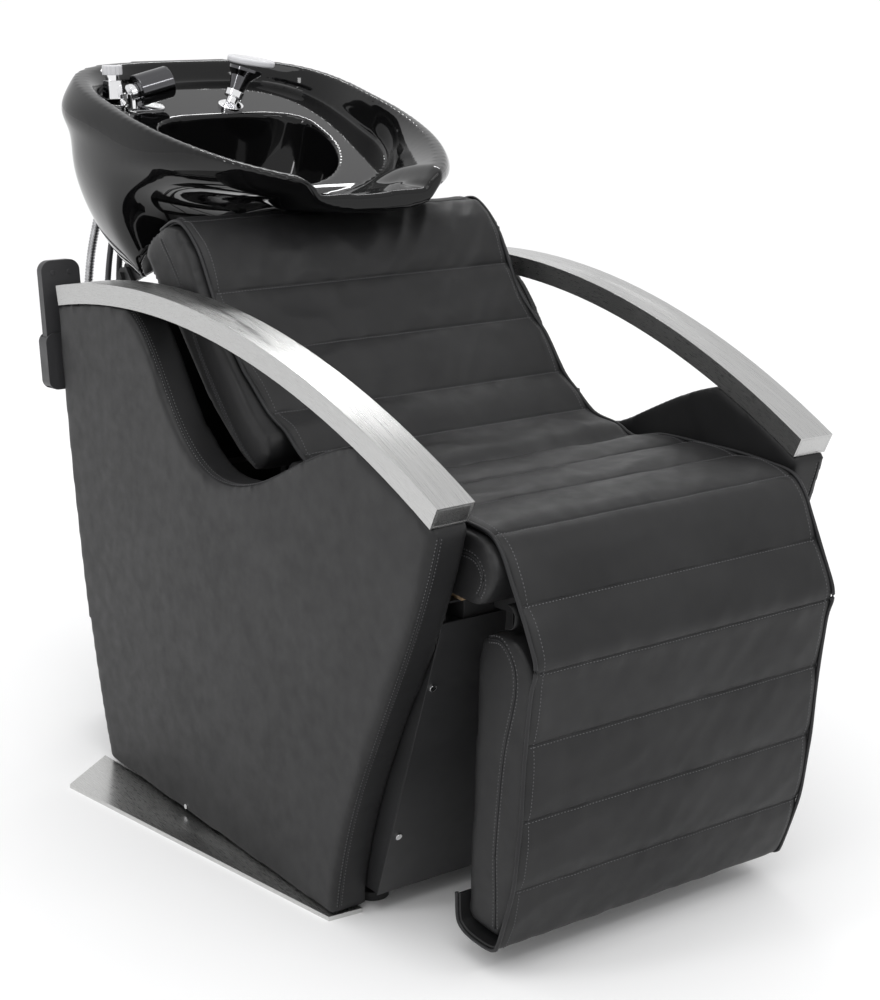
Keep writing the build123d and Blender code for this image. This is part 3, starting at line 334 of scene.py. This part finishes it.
def smooth_line(points, spacing):
    """Evenly spaced points on a smooth curve through the given points."""
    points = [Vector(p) for p in points]
    padded = [2 * points[0] - points[1]] + points + [2 * points[-1] - points[-2]]
    fine = []
    for a, b, c, d in zip(padded, padded[1:], padded[2:], padded[3:]):
        for step in range(24):
            t = step / 24
            fine.append(0.5 * (2 * b + (c - a) * t + (2 * a - 5 * b + 4 * c - d) * t * t
                               + (3 * b - a - 3 * c + d) * t**3))
    fine.append(points[-1])
    lengths = np.cumsum([0.0] + [(q - p).length for p, q in zip(fine, fine[1:])])
    count = max(2, int(lengths[-1] / spacing) + 1)
    coords = np.array([tuple(p) for p in fine])
    marks = np.linspace(0, lengths[-1], count)
    return [Vector([np.interp(m, lengths, coords[:, i]) for i in range(3)]) for m in marks]


def tube_mesh(name, line, radius, slot_name, material=None, sides=8):
    """Round bead along a line of points."""
    vertices, faces = [], []
    for index, point in enumerate(line):
        ahead = line[min(index + 1, len(line) - 1)] - line[max(index - 1, 0)]
        turn = ahead.to_track_quat("Z", "Y").to_matrix()
        for side in range(sides):
            angle = 2 * pi * side / sides
            vertices.append(point + turn @ Vector((cos(angle), sin(angle), 0)) * radius)
    for ring in range(len(line) - 1):
        for side in range(sides):
            a, b = ring * sides + side, ring * sides + (side + 1) % sides
            faces.append((a, b, b + sides, a + sides))
    faces.append(tuple(range(sides))[::-1])
    faces.append(tuple(range((len(line) - 1) * sides, len(line) * sides)))
    return add_piece(name, vertices, faces, slot_name, material)


def on_surface(piece, line, lift=0.0):
    """Points of a line moved to the nearest point of a piece, with the surface's normals."""
    tree = BVHTree.FromObject(piece, bpy.context.evaluated_depsgraph_get())
    moved = []
    for point in line:
        place, normal, _, _ = tree.find_nearest(point)
        moved.append((place + normal * lift, normal))
    return moved


def stitches(name, rows, body, slot_name="vinyl", length=0.0034, width=0.0008):
    """Thread stitches along rows of (point, normal) pairs."""
    vertices, faces = [], []
    for row in rows:
        for (here, normal), (after, _) in zip(row, row[1:]):
            along = (after - here).normalized()
            across = normal.cross(along).normalized() * width
            middle = (here + after) / 2
            ends = (middle - along * length / 2, middle + along * length / 2)
            first = len(vertices)
            vertices += [ends[0] - normal * width, ends[1] - normal * width]
            vertices += [middle + across, middle + normal * width, middle - across]
            faces += [(first, first + 2, first + 3), (first, first + 3, first + 4),
                      (first + 1, first + 3, first + 2), (first + 1, first + 4, first + 3)]
    piece = add_piece(name, vertices, faces, slot_name, THREAD)
    if body:
        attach(piece, body)
    return piece


def seam(name, piece, line, body, offset=0.004, bead=0.0011):
    """A seam on a soft piece: a dark bead in the join, with a row of stitches on each side."""
    track = on_surface(piece, smooth_line(line, 0.0048))
    join = tube_mesh(f"{name}_join", [p for p, _ in track], bead, "vinyl", PIPING, 6)
    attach(join, body)
    rows = []
    for side in (-1, 1):
        shifted = []
        for index, (point, normal) in enumerate(track):
            along = track[min(index + 1, len(track) - 1)][0] - track[max(index - 1, 0)][0]
            shifted.append(point + normal.cross(along).normalized() * offset * side)
        rows.append(on_surface(piece, shifted, 0.0003))
    stitches(f"{name}_stitches", rows, body)


# ---------------------------------------------------------------- side panels and arms
TOE = radians(2.376)                # the panels come closer together towards the front
PANEL_OUTER = 0.3267                # outer face from the centre at Y = 0
ARM_OUTER_RADIUS = 1.4652
ARM_THICK = 0.029
ARM_UNDER = ARM_OUTER_RADIUS - ARM_THICK


def arm_under(y):
    """Height of the armrest's underside."""
    return ARM_CENTRE.z + (ARM_UNDER**2 - (y - ARM_CENTRE.y) ** 2) ** 0.5


def panel_point(side, depth, y, z):
    """Point in a side panel at a depth from its outer face."""
    return Vector((side * (PANEL_OUTER + y * np.tan(TOE) - depth), y, z))


# (Y, Z) of the panel's seams: along the cut-out under the armrest, and down the front edge
BELOW_ARM = 0.006
VALLEY = [(0.158, arm_under(0.158) - BELOW_ARM), (0.128, 0.690), (0.072, 0.623), (0.034, 0.575),
          (-0.042, 0.526), (-0.139, 0.530), (-0.264, 0.585), (-0.331, 0.615),
          (-0.385, arm_under(-0.385) - BELOW_ARM)]
FRONT_EDGE = [(-0.545, 0.560), (-0.529, 0.510), (-0.485, 0.408), (-0.440, 0.312), (-0.388, 0.160),
              (-0.338, 0.016)]
SEAM_DEPTH = 0.011                  # of these seams, from the panel's outer face


def side_panels():
    for side, label in ((-1, "left"), (1, "right")):
        panel = softened(f"panel_{label}", [f"side_panel_{label}"], 0.005, 8, wrinkle=0.0006)
        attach(panel, "chair")
        for name, outline in (("valley", VALLEY), ("front", FRONT_EDGE)):
            line = [panel_point(side, SEAM_DEPTH, y, z) for y, z in outline]
            seam(f"panel_{label}_{name}", panel, line, "chair", offset=0.0032)


# ---------------------------------------------------------------- cushions
def side_seams(name, piece, outline, half_width, body):
    """The same seam on both sides of a cushion, from its (Y, Z) points."""
    for side, label in ((-1, "left"), (1, "right")):
        line = [(side * half_width, y, z) for y, z in outline]
        seam(f"{name}_{label}", piece, line, body)


BACKREST_SEAM = [(0.186, 0.801), (0.151, 0.769), (0.123, 0.738), (0.084, 0.669), (0.029, 0.609),
                 (-0.024, 0.558), (-0.068, 0.530)]
SEAT_SEAM = [(-0.130, 0.520), (-0.300, 0.512), (-0.450, 0.520), (-0.530, 0.530), (-0.555, 0.518),
             (-0.558, 0.500), (-0.548, 0.484)]
LEG_SEAM = [(-0.533, 0.424), (-0.560, 0.428), (-0.583, 0.409), (-0.589, 0.382), (-0.584, 0.352),
            (-0.570, 0.300), (-0.561, 0.241), (-0.554, 0.163), (-0.556, 0.100), (-0.554, 0.062)]


def cushions():
    back = softened("backrest", ["back_cushion"], 0.006, 9, crown=0.003, wrinkle=0.0014)
    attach(back, "chair")
    side_seams("backrest_seam", back, BACKREST_SEAM, 0.262, "chair")

    seat = softened("seat", ["seat_cushion"], 0.006, 8, crown=0.002, wrinkle=0.0012)
    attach(seat, "chair")
    side_seams("seat_seam", seat, SEAT_SEAM, 0.243, "chair")

    leg = softened("leg_pad", ["leg_cushion"], 0.006, 9, crown=0.002, wrinkle=0.0012)
    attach(leg, "leg_rest")
    side_seams("leg_pad_seam", leg, LEG_SEAM, 0.218, "leg_rest")


# ---------------------------------------------------------------- channelled mat
# (Y, Z) down the mat's upper face, from the neck to the hem under the leg rest, and of its seams
MAT_LINE = [(0.214, 0.812), (0.174, 0.829), (0.141, 0.826), (0.098, 0.795), (0.063, 0.743),
            (0.042, 0.709), (0.002, 0.672), (-0.033, 0.639), (-0.069, 0.603), (-0.106, 0.583),
            (-0.136, 0.564), (-0.160, 0.555), (-0.206, 0.551), (-0.244, 0.542), (-0.300, 0.556),
            (-0.380, 0.561), (-0.453, 0.564), (-0.516, 0.563), (-0.546, 0.561), (-0.562, 0.555),
            (-0.574, 0.544), (-0.583, 0.531), (-0.590, 0.518), (-0.608, 0.486), (-0.626, 0.453),
            (-0.637, 0.430), (-0.638, 0.412), (-0.631, 0.390), (-0.626, 0.353), (-0.622, 0.316),
            (-0.619, 0.279), (-0.616, 0.228), (-0.611, 0.188), (-0.604, 0.138), (-0.592, 0.098),
            (-0.575, 0.050), (-0.566, 0.038), (-0.548, 0.033), (-0.512, 0.033), (-0.492, 0.040),
            (-0.485, 0.052), (-0.483, 0.084)]
MAT_SEAMS = [(0.158, 0.828), (0.063, 0.743), (0.002, 0.672), (-0.069, 0.603), (-0.139, 0.562),
             (-0.244, 0.542), (-0.357, 0.559), (-0.453, 0.564), (-0.553, 0.559), (-0.607, 0.487),
             (-0.638, 0.412), (-0.622, 0.320), (-0.616, 0.223), (-0.602, 0.128), (-0.560, 0.036)]
MAT_THICK = 0.0085
MAT_STEP = 0.001                    # between the points of the mat's line
MAT_SINK = 0.0062                   # of the sewn lines, below the mat's line
MAT_PUFF = 0.0060                   # rise of a channel between two seams
FULL_CHANNEL = 0.07                 # a channel narrower than this rises less
MAT_RIM = 0.016                     # side strip in which the face comes down
PUCKER = 0.0016                     # small gathers that run off the seams
CRUMPLE = 0.0030                    # broad creases
DRAG = 0.0026                       # slanting folds across the backrest
DRAG_COS = 0.77
DRAG_SIN = 0.64
# (distance down the mat, half width), and (distance down the mat, extra width on the right)
MAT_WIDTHS = ((0.0, 0.248), (0.32, 0.247), (0.42, 0.233), (0.80, 0.231), (1.0, 0.226), (2.0, 0.226))
MAT_RIGHT = ((0.0, 0.0), (0.26, 0.002), (0.38, 0.013), (0.46, 0.012), (0.6, 0.009), (2.0, 0.008))


def table(place, pairs):
    """Value at a place between the pairs of a table."""
    return float(np.interp(place, [m[0] for m in pairs], [m[1] for m in pairs]))


class MatSurface:
    """Upper face of the mat as a function of the distance down it and the place across it."""

    def __init__(self):
        self.line = smooth_line([(0, y, z) for y, z in MAT_LINE], MAT_STEP)
        self.length = MAT_STEP * (len(self.line) - 1)
        self.seams = [self.nearest(y, z) for y, z in MAT_SEAMS]
        self.stops = [0.0] + self.seams + [self.length]

    def nearest(self, y, z):
        """Distance down the mat of the place that is nearest to (Y, Z)."""
        gaps = [(p - Vector((0, y, z))).length for p in self.line]
        return gaps.index(min(gaps)) * MAT_STEP

    def half_width(self, along):
        return table(along, MAT_WIDTHS)

    def base(self, along):
        """Point of the mat's line, and the way out of the mat's face there."""
        index = min(max(int(round(along / MAT_STEP)), 1), len(self.line) - 2)
        ahead = (self.line[index + 1] - self.line[index - 1]).normalized()
        return self.line[index], Vector((0, ahead.z, -ahead.y))

    def height(self, along, across):
        """Puff between the seams, drawn in at the side edges, with puckers that run off the seams."""
        for low, high in zip(self.stops, self.stops[1:]):
            if low <= along <= high:
                break
        part = (along - low) / (high - low)
        size = MAT_PUFF * min(1.0, (high - low) / FULL_CHANNEL)
        puff = size * max(sin(pi * part), 0.0) ** 0.55
        seam_gap = min(along - low, high - along)
        half = self.half_width(along)
        edge = max(half - abs(across), 0.0)
        rim = min(edge / MAT_RIM, 1.0)
        rim = (1 - (1 - rim) ** 2) ** 0.5
        pucker = noise.noise(Vector((across * 55, along * 14, 0.4))) * PUCKER
        pucker *= 2.718 ** (-seam_gap / 0.016) * (1 - 2.718 ** (-seam_gap / 0.002))
        crumple = noise.noise(Vector((across * 12 + along * 9, along * 13 - across * 5, 2.7)))
        crumple = CRUMPLE * (1 - abs(crumple) * 2.2) * min(seam_gap / 0.02, 1.0)
        slack = 1.0 if along < 0.35 else (0.75 if along < 0.8 else 0.35)
        down = along * DRAG_COS - across * DRAG_SIN
        over = across * DRAG_COS + along * DRAG_SIN
        drag = 1 - abs(noise.noise(Vector((down * 5, over * 30, 5.1)))) * 2.4
        drag *= DRAG * np.interp(along, (0.02, 0.08, 0.34, 0.46), (0.0, 1.0, 0.7, 0.25))
        drag *= np.interp(across, (-0.15, 0.12), (0.25, 1.0)) * min(seam_gap / 0.012, 1.0)
        return (puff + pucker + crumple * slack + drag) * rim - MAT_SINK

    def shifted(self, along, across):
        """Sideways place of a point: the mat lies a little further over on the right."""
        extra = table(along, MAT_RIGHT)
        half = self.half_width(along)
        return Vector((across + extra * (across + half) / (2 * half), 0, 0))

    def point(self, along, across, lift=0.0):
        place, out = self.base(along)
        return place + out * (self.height(along, across) + lift) + self.shifted(along, across)


def spaced(stops, step, fine):
    """Distances from the first stop to the last, closer together beside each stop."""
    marks = []
    for low, high in zip(stops, stops[1:]):
        count = max(3, int((high - low) / step))
        marks += [low + (high - low) * n / count for n in range(count)]
        marks += [low + d for d in fine if d < (high - low) / 2]
        marks += [high - d for d in fine if d < (high - low) / 2]
    return sorted(set(round(m, 5) for m in marks + [stops[-1]]))


def mat():
    """One quilted sheet over back, seat, front edge and leg rest, with its threads and bound edges."""
    surface = MatSurface()
    rows = spaced(surface.stops, 0.005, (0.0007, 0.0018, 0.0034))
    columns = spaced([-1.0, 1.0], 0.0165, (0.004, 0.009, 0.017, 0.026, 0.04))
    count = len(columns)
    vertices, faces = [], []
    for along in rows:
        half = surface.half_width(along)
        for part in columns:
            vertices.append(surface.point(along, part * half))
    top = len(vertices)
    for along in rows:
        half = surface.half_width(along)
        place, out = surface.base(along)
        for part in columns:
            vertices.append(place - out * MAT_THICK + surface.shifted(along, part * half * 0.996))
    for row in range(len(rows) - 1):
        for column in range(count - 1):
            a = row * count + column
            faces.append((a, a + count, a + count + 1, a + 1))
            b = top + a
            faces.append((b, b + 1, b + count + 1, b + count))
        for column, flip in ((0, False), (count - 1, True)):
            a = row * count + column
            quad = (a, top + a, top + a + count, a + count)
            faces.append(quad[::-1] if flip else quad)
    for row, flip in ((0, True), (len(rows) - 1, False)):
        for column in range(count - 1):
            a = row * count + column
            quad = (a, top + a, top + a + 1, a + 1)
            faces.append(quad if flip else quad[::-1])
    piece = add_piece("mat", vertices, faces, "mat_vinyl")
    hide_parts("overlay_back", "overlay_seat", "overlay_bend", "overlay_leg")
    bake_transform(piece)

    beside, lift = 0.0022, 0.0004   # of the stitches, from the join and above the vinyl
    seam_rows = []
    for along in surface.seams:
        half = surface.half_width(along) - 0.006
        steps = int(2 * half / STITCH_STEP)
        seam_rows.append([(surface.point(along + beside, -half + 2 * half * n / steps, lift),
                           surface.base(along)[1]) for n in range(steps + 1)])
    thread = stitches("mat_seam_thread", seam_rows, None, "mat_vinyl", 0.0032, 0.0007)
    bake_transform(thread)

    edge_rows, beads = [], []
    steps = int(surface.length / STITCH_STEP)
    for side in (-1, 1):
        row, bead = [], []
        for n in range(steps + 1):
            along = surface.length * n / steps
            half = surface.half_width(along)
            place, out = surface.base(along)
            row.append((surface.point(along, side * (half - 0.011), 0.0005), out))
            bead.append(place + out * -0.0034 + surface.shifted(along, side * (half + 0.0006)))
        edge_rows.append(row)
        beads.append(bead)
    thread = stitches("mat_edge_thread", edge_rows, None, "mat_vinyl", 0.0032, 0.0007)
    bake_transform(thread)
    for bead, label in zip(beads, ("left", "right")):
        binding = tube_mesh(f"mat_binding_{label}", bead, 0.0026, "mat_vinyl", PIPING, 10)
        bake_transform(binding)


def gaiter():
    """Vinyl flap that curls round the front of the hinge line."""
    hinge = Vector((0, -0.561, 0.458))
    reach, mid_radius = 82, 0.0152  # degrees to each side of the front, and metres
    low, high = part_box("hinge_gaiter")
    vertices, faces = [], []
    columns, rows = 60, 24
    for row in range(rows + 1):
        angle = radians(-reach + 2 * reach * row / rows)
        for column in range(columns + 1):
            x = low.x + (high.x - low.x) * column / columns
            swell = 0.0010 * noise.noise(Vector((x * 20, row * 0.3, 0)))
            radius = mid_radius + swell
            vertices.append(hinge + Vector((x, -cos(angle) * radius, sin(angle) * radius)))
    for row in range(rows):
        for column in range(columns):
            a = row * (columns + 1) + column
            faces.append((a, a + 1, a + columns + 2, a + columns + 1))
    piece = add_piece("gaiter", vertices, faces, "vinyl")
    apply_modifier(piece, "SOLIDIFY", thickness=0.0016, offset=0.0)
    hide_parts("hinge_gaiter")
    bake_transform(piece)


# ---------------------------------------------------------------- bowl
NOTCH_DROP = 0.014                  # of the visible neck notch, below the CAD bowl's


def bowl():
    """The bowl as one glazed casting. Its neck notch is deeper than the CAD's."""
    piece = softened("bowl_glazed", ["bowl", "bowl_basin"], 0.0032, 12)
    for vertex in piece.data.vertices:
        across = np.interp(abs(vertex.co.x), (0.088, 0.116), (1.0, 0.0))
        inward = np.interp(vertex.co.y, (0.13, 0.24), (1.0, 0.0))
        vertex.co.z -= NOTCH_DROP * smooth_step(across) * smooth_step(inward)
    piece.data.update()
    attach(piece, "bowl")


# ---------------------------------------------------------------- hoses
# control points of the hoses, as in the CAD
SPRAY_HOSE = [(-0.160, 0.553, 0.908), (-0.167, 0.558, 0.866), (-0.175, 0.565, 0.822),
              (-0.183, 0.577, 0.776), (-0.189, 0.592, 0.726), (-0.192, 0.603, 0.670),
              (-0.194, 0.609, 0.610), (-0.194, 0.611, 0.548), (-0.189, 0.610, 0.486),
              (-0.176, 0.608, 0.424), (-0.150, 0.605, 0.370), (-0.106, 0.602, 0.336),
              (-0.054, 0.598, 0.334), (-0.010, 0.594, 0.364), (0.013, 0.588, 0.416),
              (0.023, 0.581, 0.476), (0.028, 0.574, 0.538), (0.030, 0.567, 0.602),
              (0.030, 0.560, 0.666), (0.029, 0.552, 0.730), (0.028, 0.543, 0.794),
              (0.027, 0.534, 0.854), (0.026, 0.524, 0.908)]
HOT_HOSE = [(-0.148, 0.528, 0.915), (-0.153, 0.534, 0.868), (-0.160, 0.541, 0.818),
            (-0.168, 0.550, 0.766), (-0.175, 0.558, 0.710), (-0.179, 0.562, 0.652),
            (-0.179, 0.563, 0.592), (-0.177, 0.563, 0.536)]
COLD_HOSE = [(-0.130, 0.528, 0.915), (-0.135, 0.535, 0.868), (-0.142, 0.544, 0.818),
             (-0.149, 0.555, 0.766), (-0.154, 0.565, 0.710), (-0.154, 0.571, 0.652),
             (-0.150, 0.574, 0.596)]


TAIL_TOP = 0.2004                   # top of a stop valve's tail
LAST_CONTROL = 0.222                # of the S, straight above the tail


def supply_route(points, tail, count):
    """The route's upper points, then a smooth S down to the top of a valve's tail."""
    start = points[-1]
    route = list(points)
    for step in range(1, count + 1):
        share = step / count
        across = (1 - cos(pi * share)) / 2
        route.append((start[0] + across * (tail[0] - start[0]), start[1] + across * (tail[1] - start[1]),
                      start[2] + share * (LAST_CONTROL - start[2])))
    return route + [tail]


def hose_line(name, points):
    """Points along the NURBS curve that has the route's points as its control points."""
    curve = bpy.data.curves.new(name, "CURVE")
    curve.dimensions = "3D"
    spline = curve.splines.new("NURBS")
    spline.points.add(len(points) - 1)
    for control, point in zip(spline.points, points):
        control.co = (*point, 1.0)
    spline.order_u = 3
    spline.use_endpoint_u = True
    curve.resolution_u = 16
    holder = bpy.data.objects.new(name, curve)
    bpy.context.scene.collection.objects.link(holder)
    bpy.context.view_layer.update()
    drawn = bpy.data.meshes.new_from_object(holder.evaluated_get(bpy.context.evaluated_depsgraph_get()))
    line = [v.co.copy() for v in drawn.vertices]
    bpy.data.objects.remove(holder)
    bpy.data.meshes.remove(drawn)
    return line


HOSE_SIDES = 14


def ribbed_tube(name, line, radius, ribs, depth, slot_name):
    """Hose with real ribs: rings of a smaller and a larger radius in turn."""
    line = smooth_line(line[:: max(1, len(line) // 160)] + [line[-1]], ribs / 4)
    waves = [radius - depth * (0.5 - 0.5 * cos(pi / 2 * index)) for index in range(len(line))]
    piece = tube_mesh(name, line, radius, slot_name, None, HOSE_SIDES)
    for index, size in enumerate(waves):
        for side in range(HOSE_SIDES):
            vertex = piece.data.vertices[index * HOSE_SIDES + side]
            vertex.co = line[index] + (vertex.co - line[index]) * size / radius
    return piece


def hoses():
    hot = supply_route(HOT_HOSE, (-0.070, 0.472, TAIL_TOP), 7)
    cold = supply_route(COLD_HOSE, (0.070, 0.472, TAIL_TOP), 9)
    for name, points, radius, ribs, depth in (
            ("spray_hose", SPRAY_HOSE, 0.007, 0.0052, 0.0011),
            ("hot_supply_hose", hot, 0.005, 0.0036, 0.0005),
            ("cold_supply_hose", cold, 0.005, 0.0036, 0.0005)):
        line = hose_line(name, points)
        piece = ribbed_tube(f"{name}_skin", line, radius, ribs, depth, SLOT_OF[name])
        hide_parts(name)
        if name == "spray_hose":
            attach(piece, "bowl")
        else:
            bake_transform(piece)

    low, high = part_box("waste_hose")
    centre = (low + high) / 2
    line = [Vector((centre.x, centre.y, low.z + (high.z - low.z) * n / 60)) for n in range(61)]
    waste = ribbed_tube("waste_hose_ribbed", line, 0.0193, 0.008, 0.0022, "waste_plastic")
    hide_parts("waste_hose")
    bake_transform(waste)


# ---------------------------------------------------------------- stage
def stage():
    """Pale floor, even studio light and three strips that draw the highlights."""
    mesh = bpy.data.meshes.new("floor")
    size = 120.0                    # half the floor's side
    corners = [(-size, -size, 0), (size, -size, 0), (size, size, 0), (-size, size, 0)]
    mesh.from_pydata(corners, [], [(0, 1, 2, 3)])
    floor = bpy.data.objects.new("floor", mesh)
    bpy.context.scene.collection.objects.link(floor)
    pale = Shader("floor_pale", (0.92, 0.92, 0.92), 0.7, Specular_IOR_Level=0.1)
    pale.vary_colour(pale.noise(1.5), (0.915, 0.915, 0.915), (0.925, 0.925, 0.925))
    mesh.materials.append(pale.material)

    world = bpy.data.worlds.new("studio")
    world.use_nodes = True
    backdrop = world.node_tree.nodes["Background"]
    backdrop.inputs["Color"].default_value = (0.90, 0.90, 0.905, 1)
    backdrop.inputs["Strength"].default_value = 1.0
    bpy.context.scene.world = world
    bpy.context.scene.view_settings.view_transform = "Standard"

    sky = bpy.data.lights.new("light_even", "SUN")
    sky.energy = 0.75
    sky.angle = radians(40)
    even = bpy.data.objects.new("light_even", sky)
    even.rotation_euler = Vector((0.35, 0.45, -1.6)).to_track_quat("-Z", "Y").to_euler()
    bpy.context.scene.collection.objects.link(even)

    for name, place, target, width, height, power in (
            ("light_left", (-2.4, -0.2, 2.3), (0, 0.2, 0.8), 0.25, 1.5, 14),
            ("light_front", (0.5, -2.6, 2.6), (0, -0.1, 0.7), 1.3, 0.3, 12),
            ("light_back", (1.4, 1.9, 2.8), (0, 0.3, 0.9), 1.2, 0.15, 9)):
        data = bpy.data.lights.new(name, "AREA")
        data.shape = "RECTANGLE"
        data.size = width
        data.size_y = height
        data.energy = power
        lamp = bpy.data.objects.new(name, data)
        lamp.location = place
        aim = Vector(target) - Vector(place)
        lamp.rotation_euler = aim.to_track_quat("-Z", "Y").to_euler()
        bpy.context.scene.collection.objects.link(lamp)


def camera():
    """The photograph's view, 16 degrees down on the left front corner."""
    data = bpy.data.cameras.new("camera")
    data.lens = 66.5
    data.sensor_width = 36.0
    view = bpy.data.objects.new("camera", data)
    view.location = (-1.39176, -2.145, 1.16685)
    view.rotation_euler = (radians(90 - 16.149), radians(-0.166), radians(-34.418))
    bpy.context.scene.collection.objects.link(view)
    bpy.context.scene.camera = view


camera()
stage()
side_panels()
cushions()
mat()
gaiter()
bowl()
hoses()
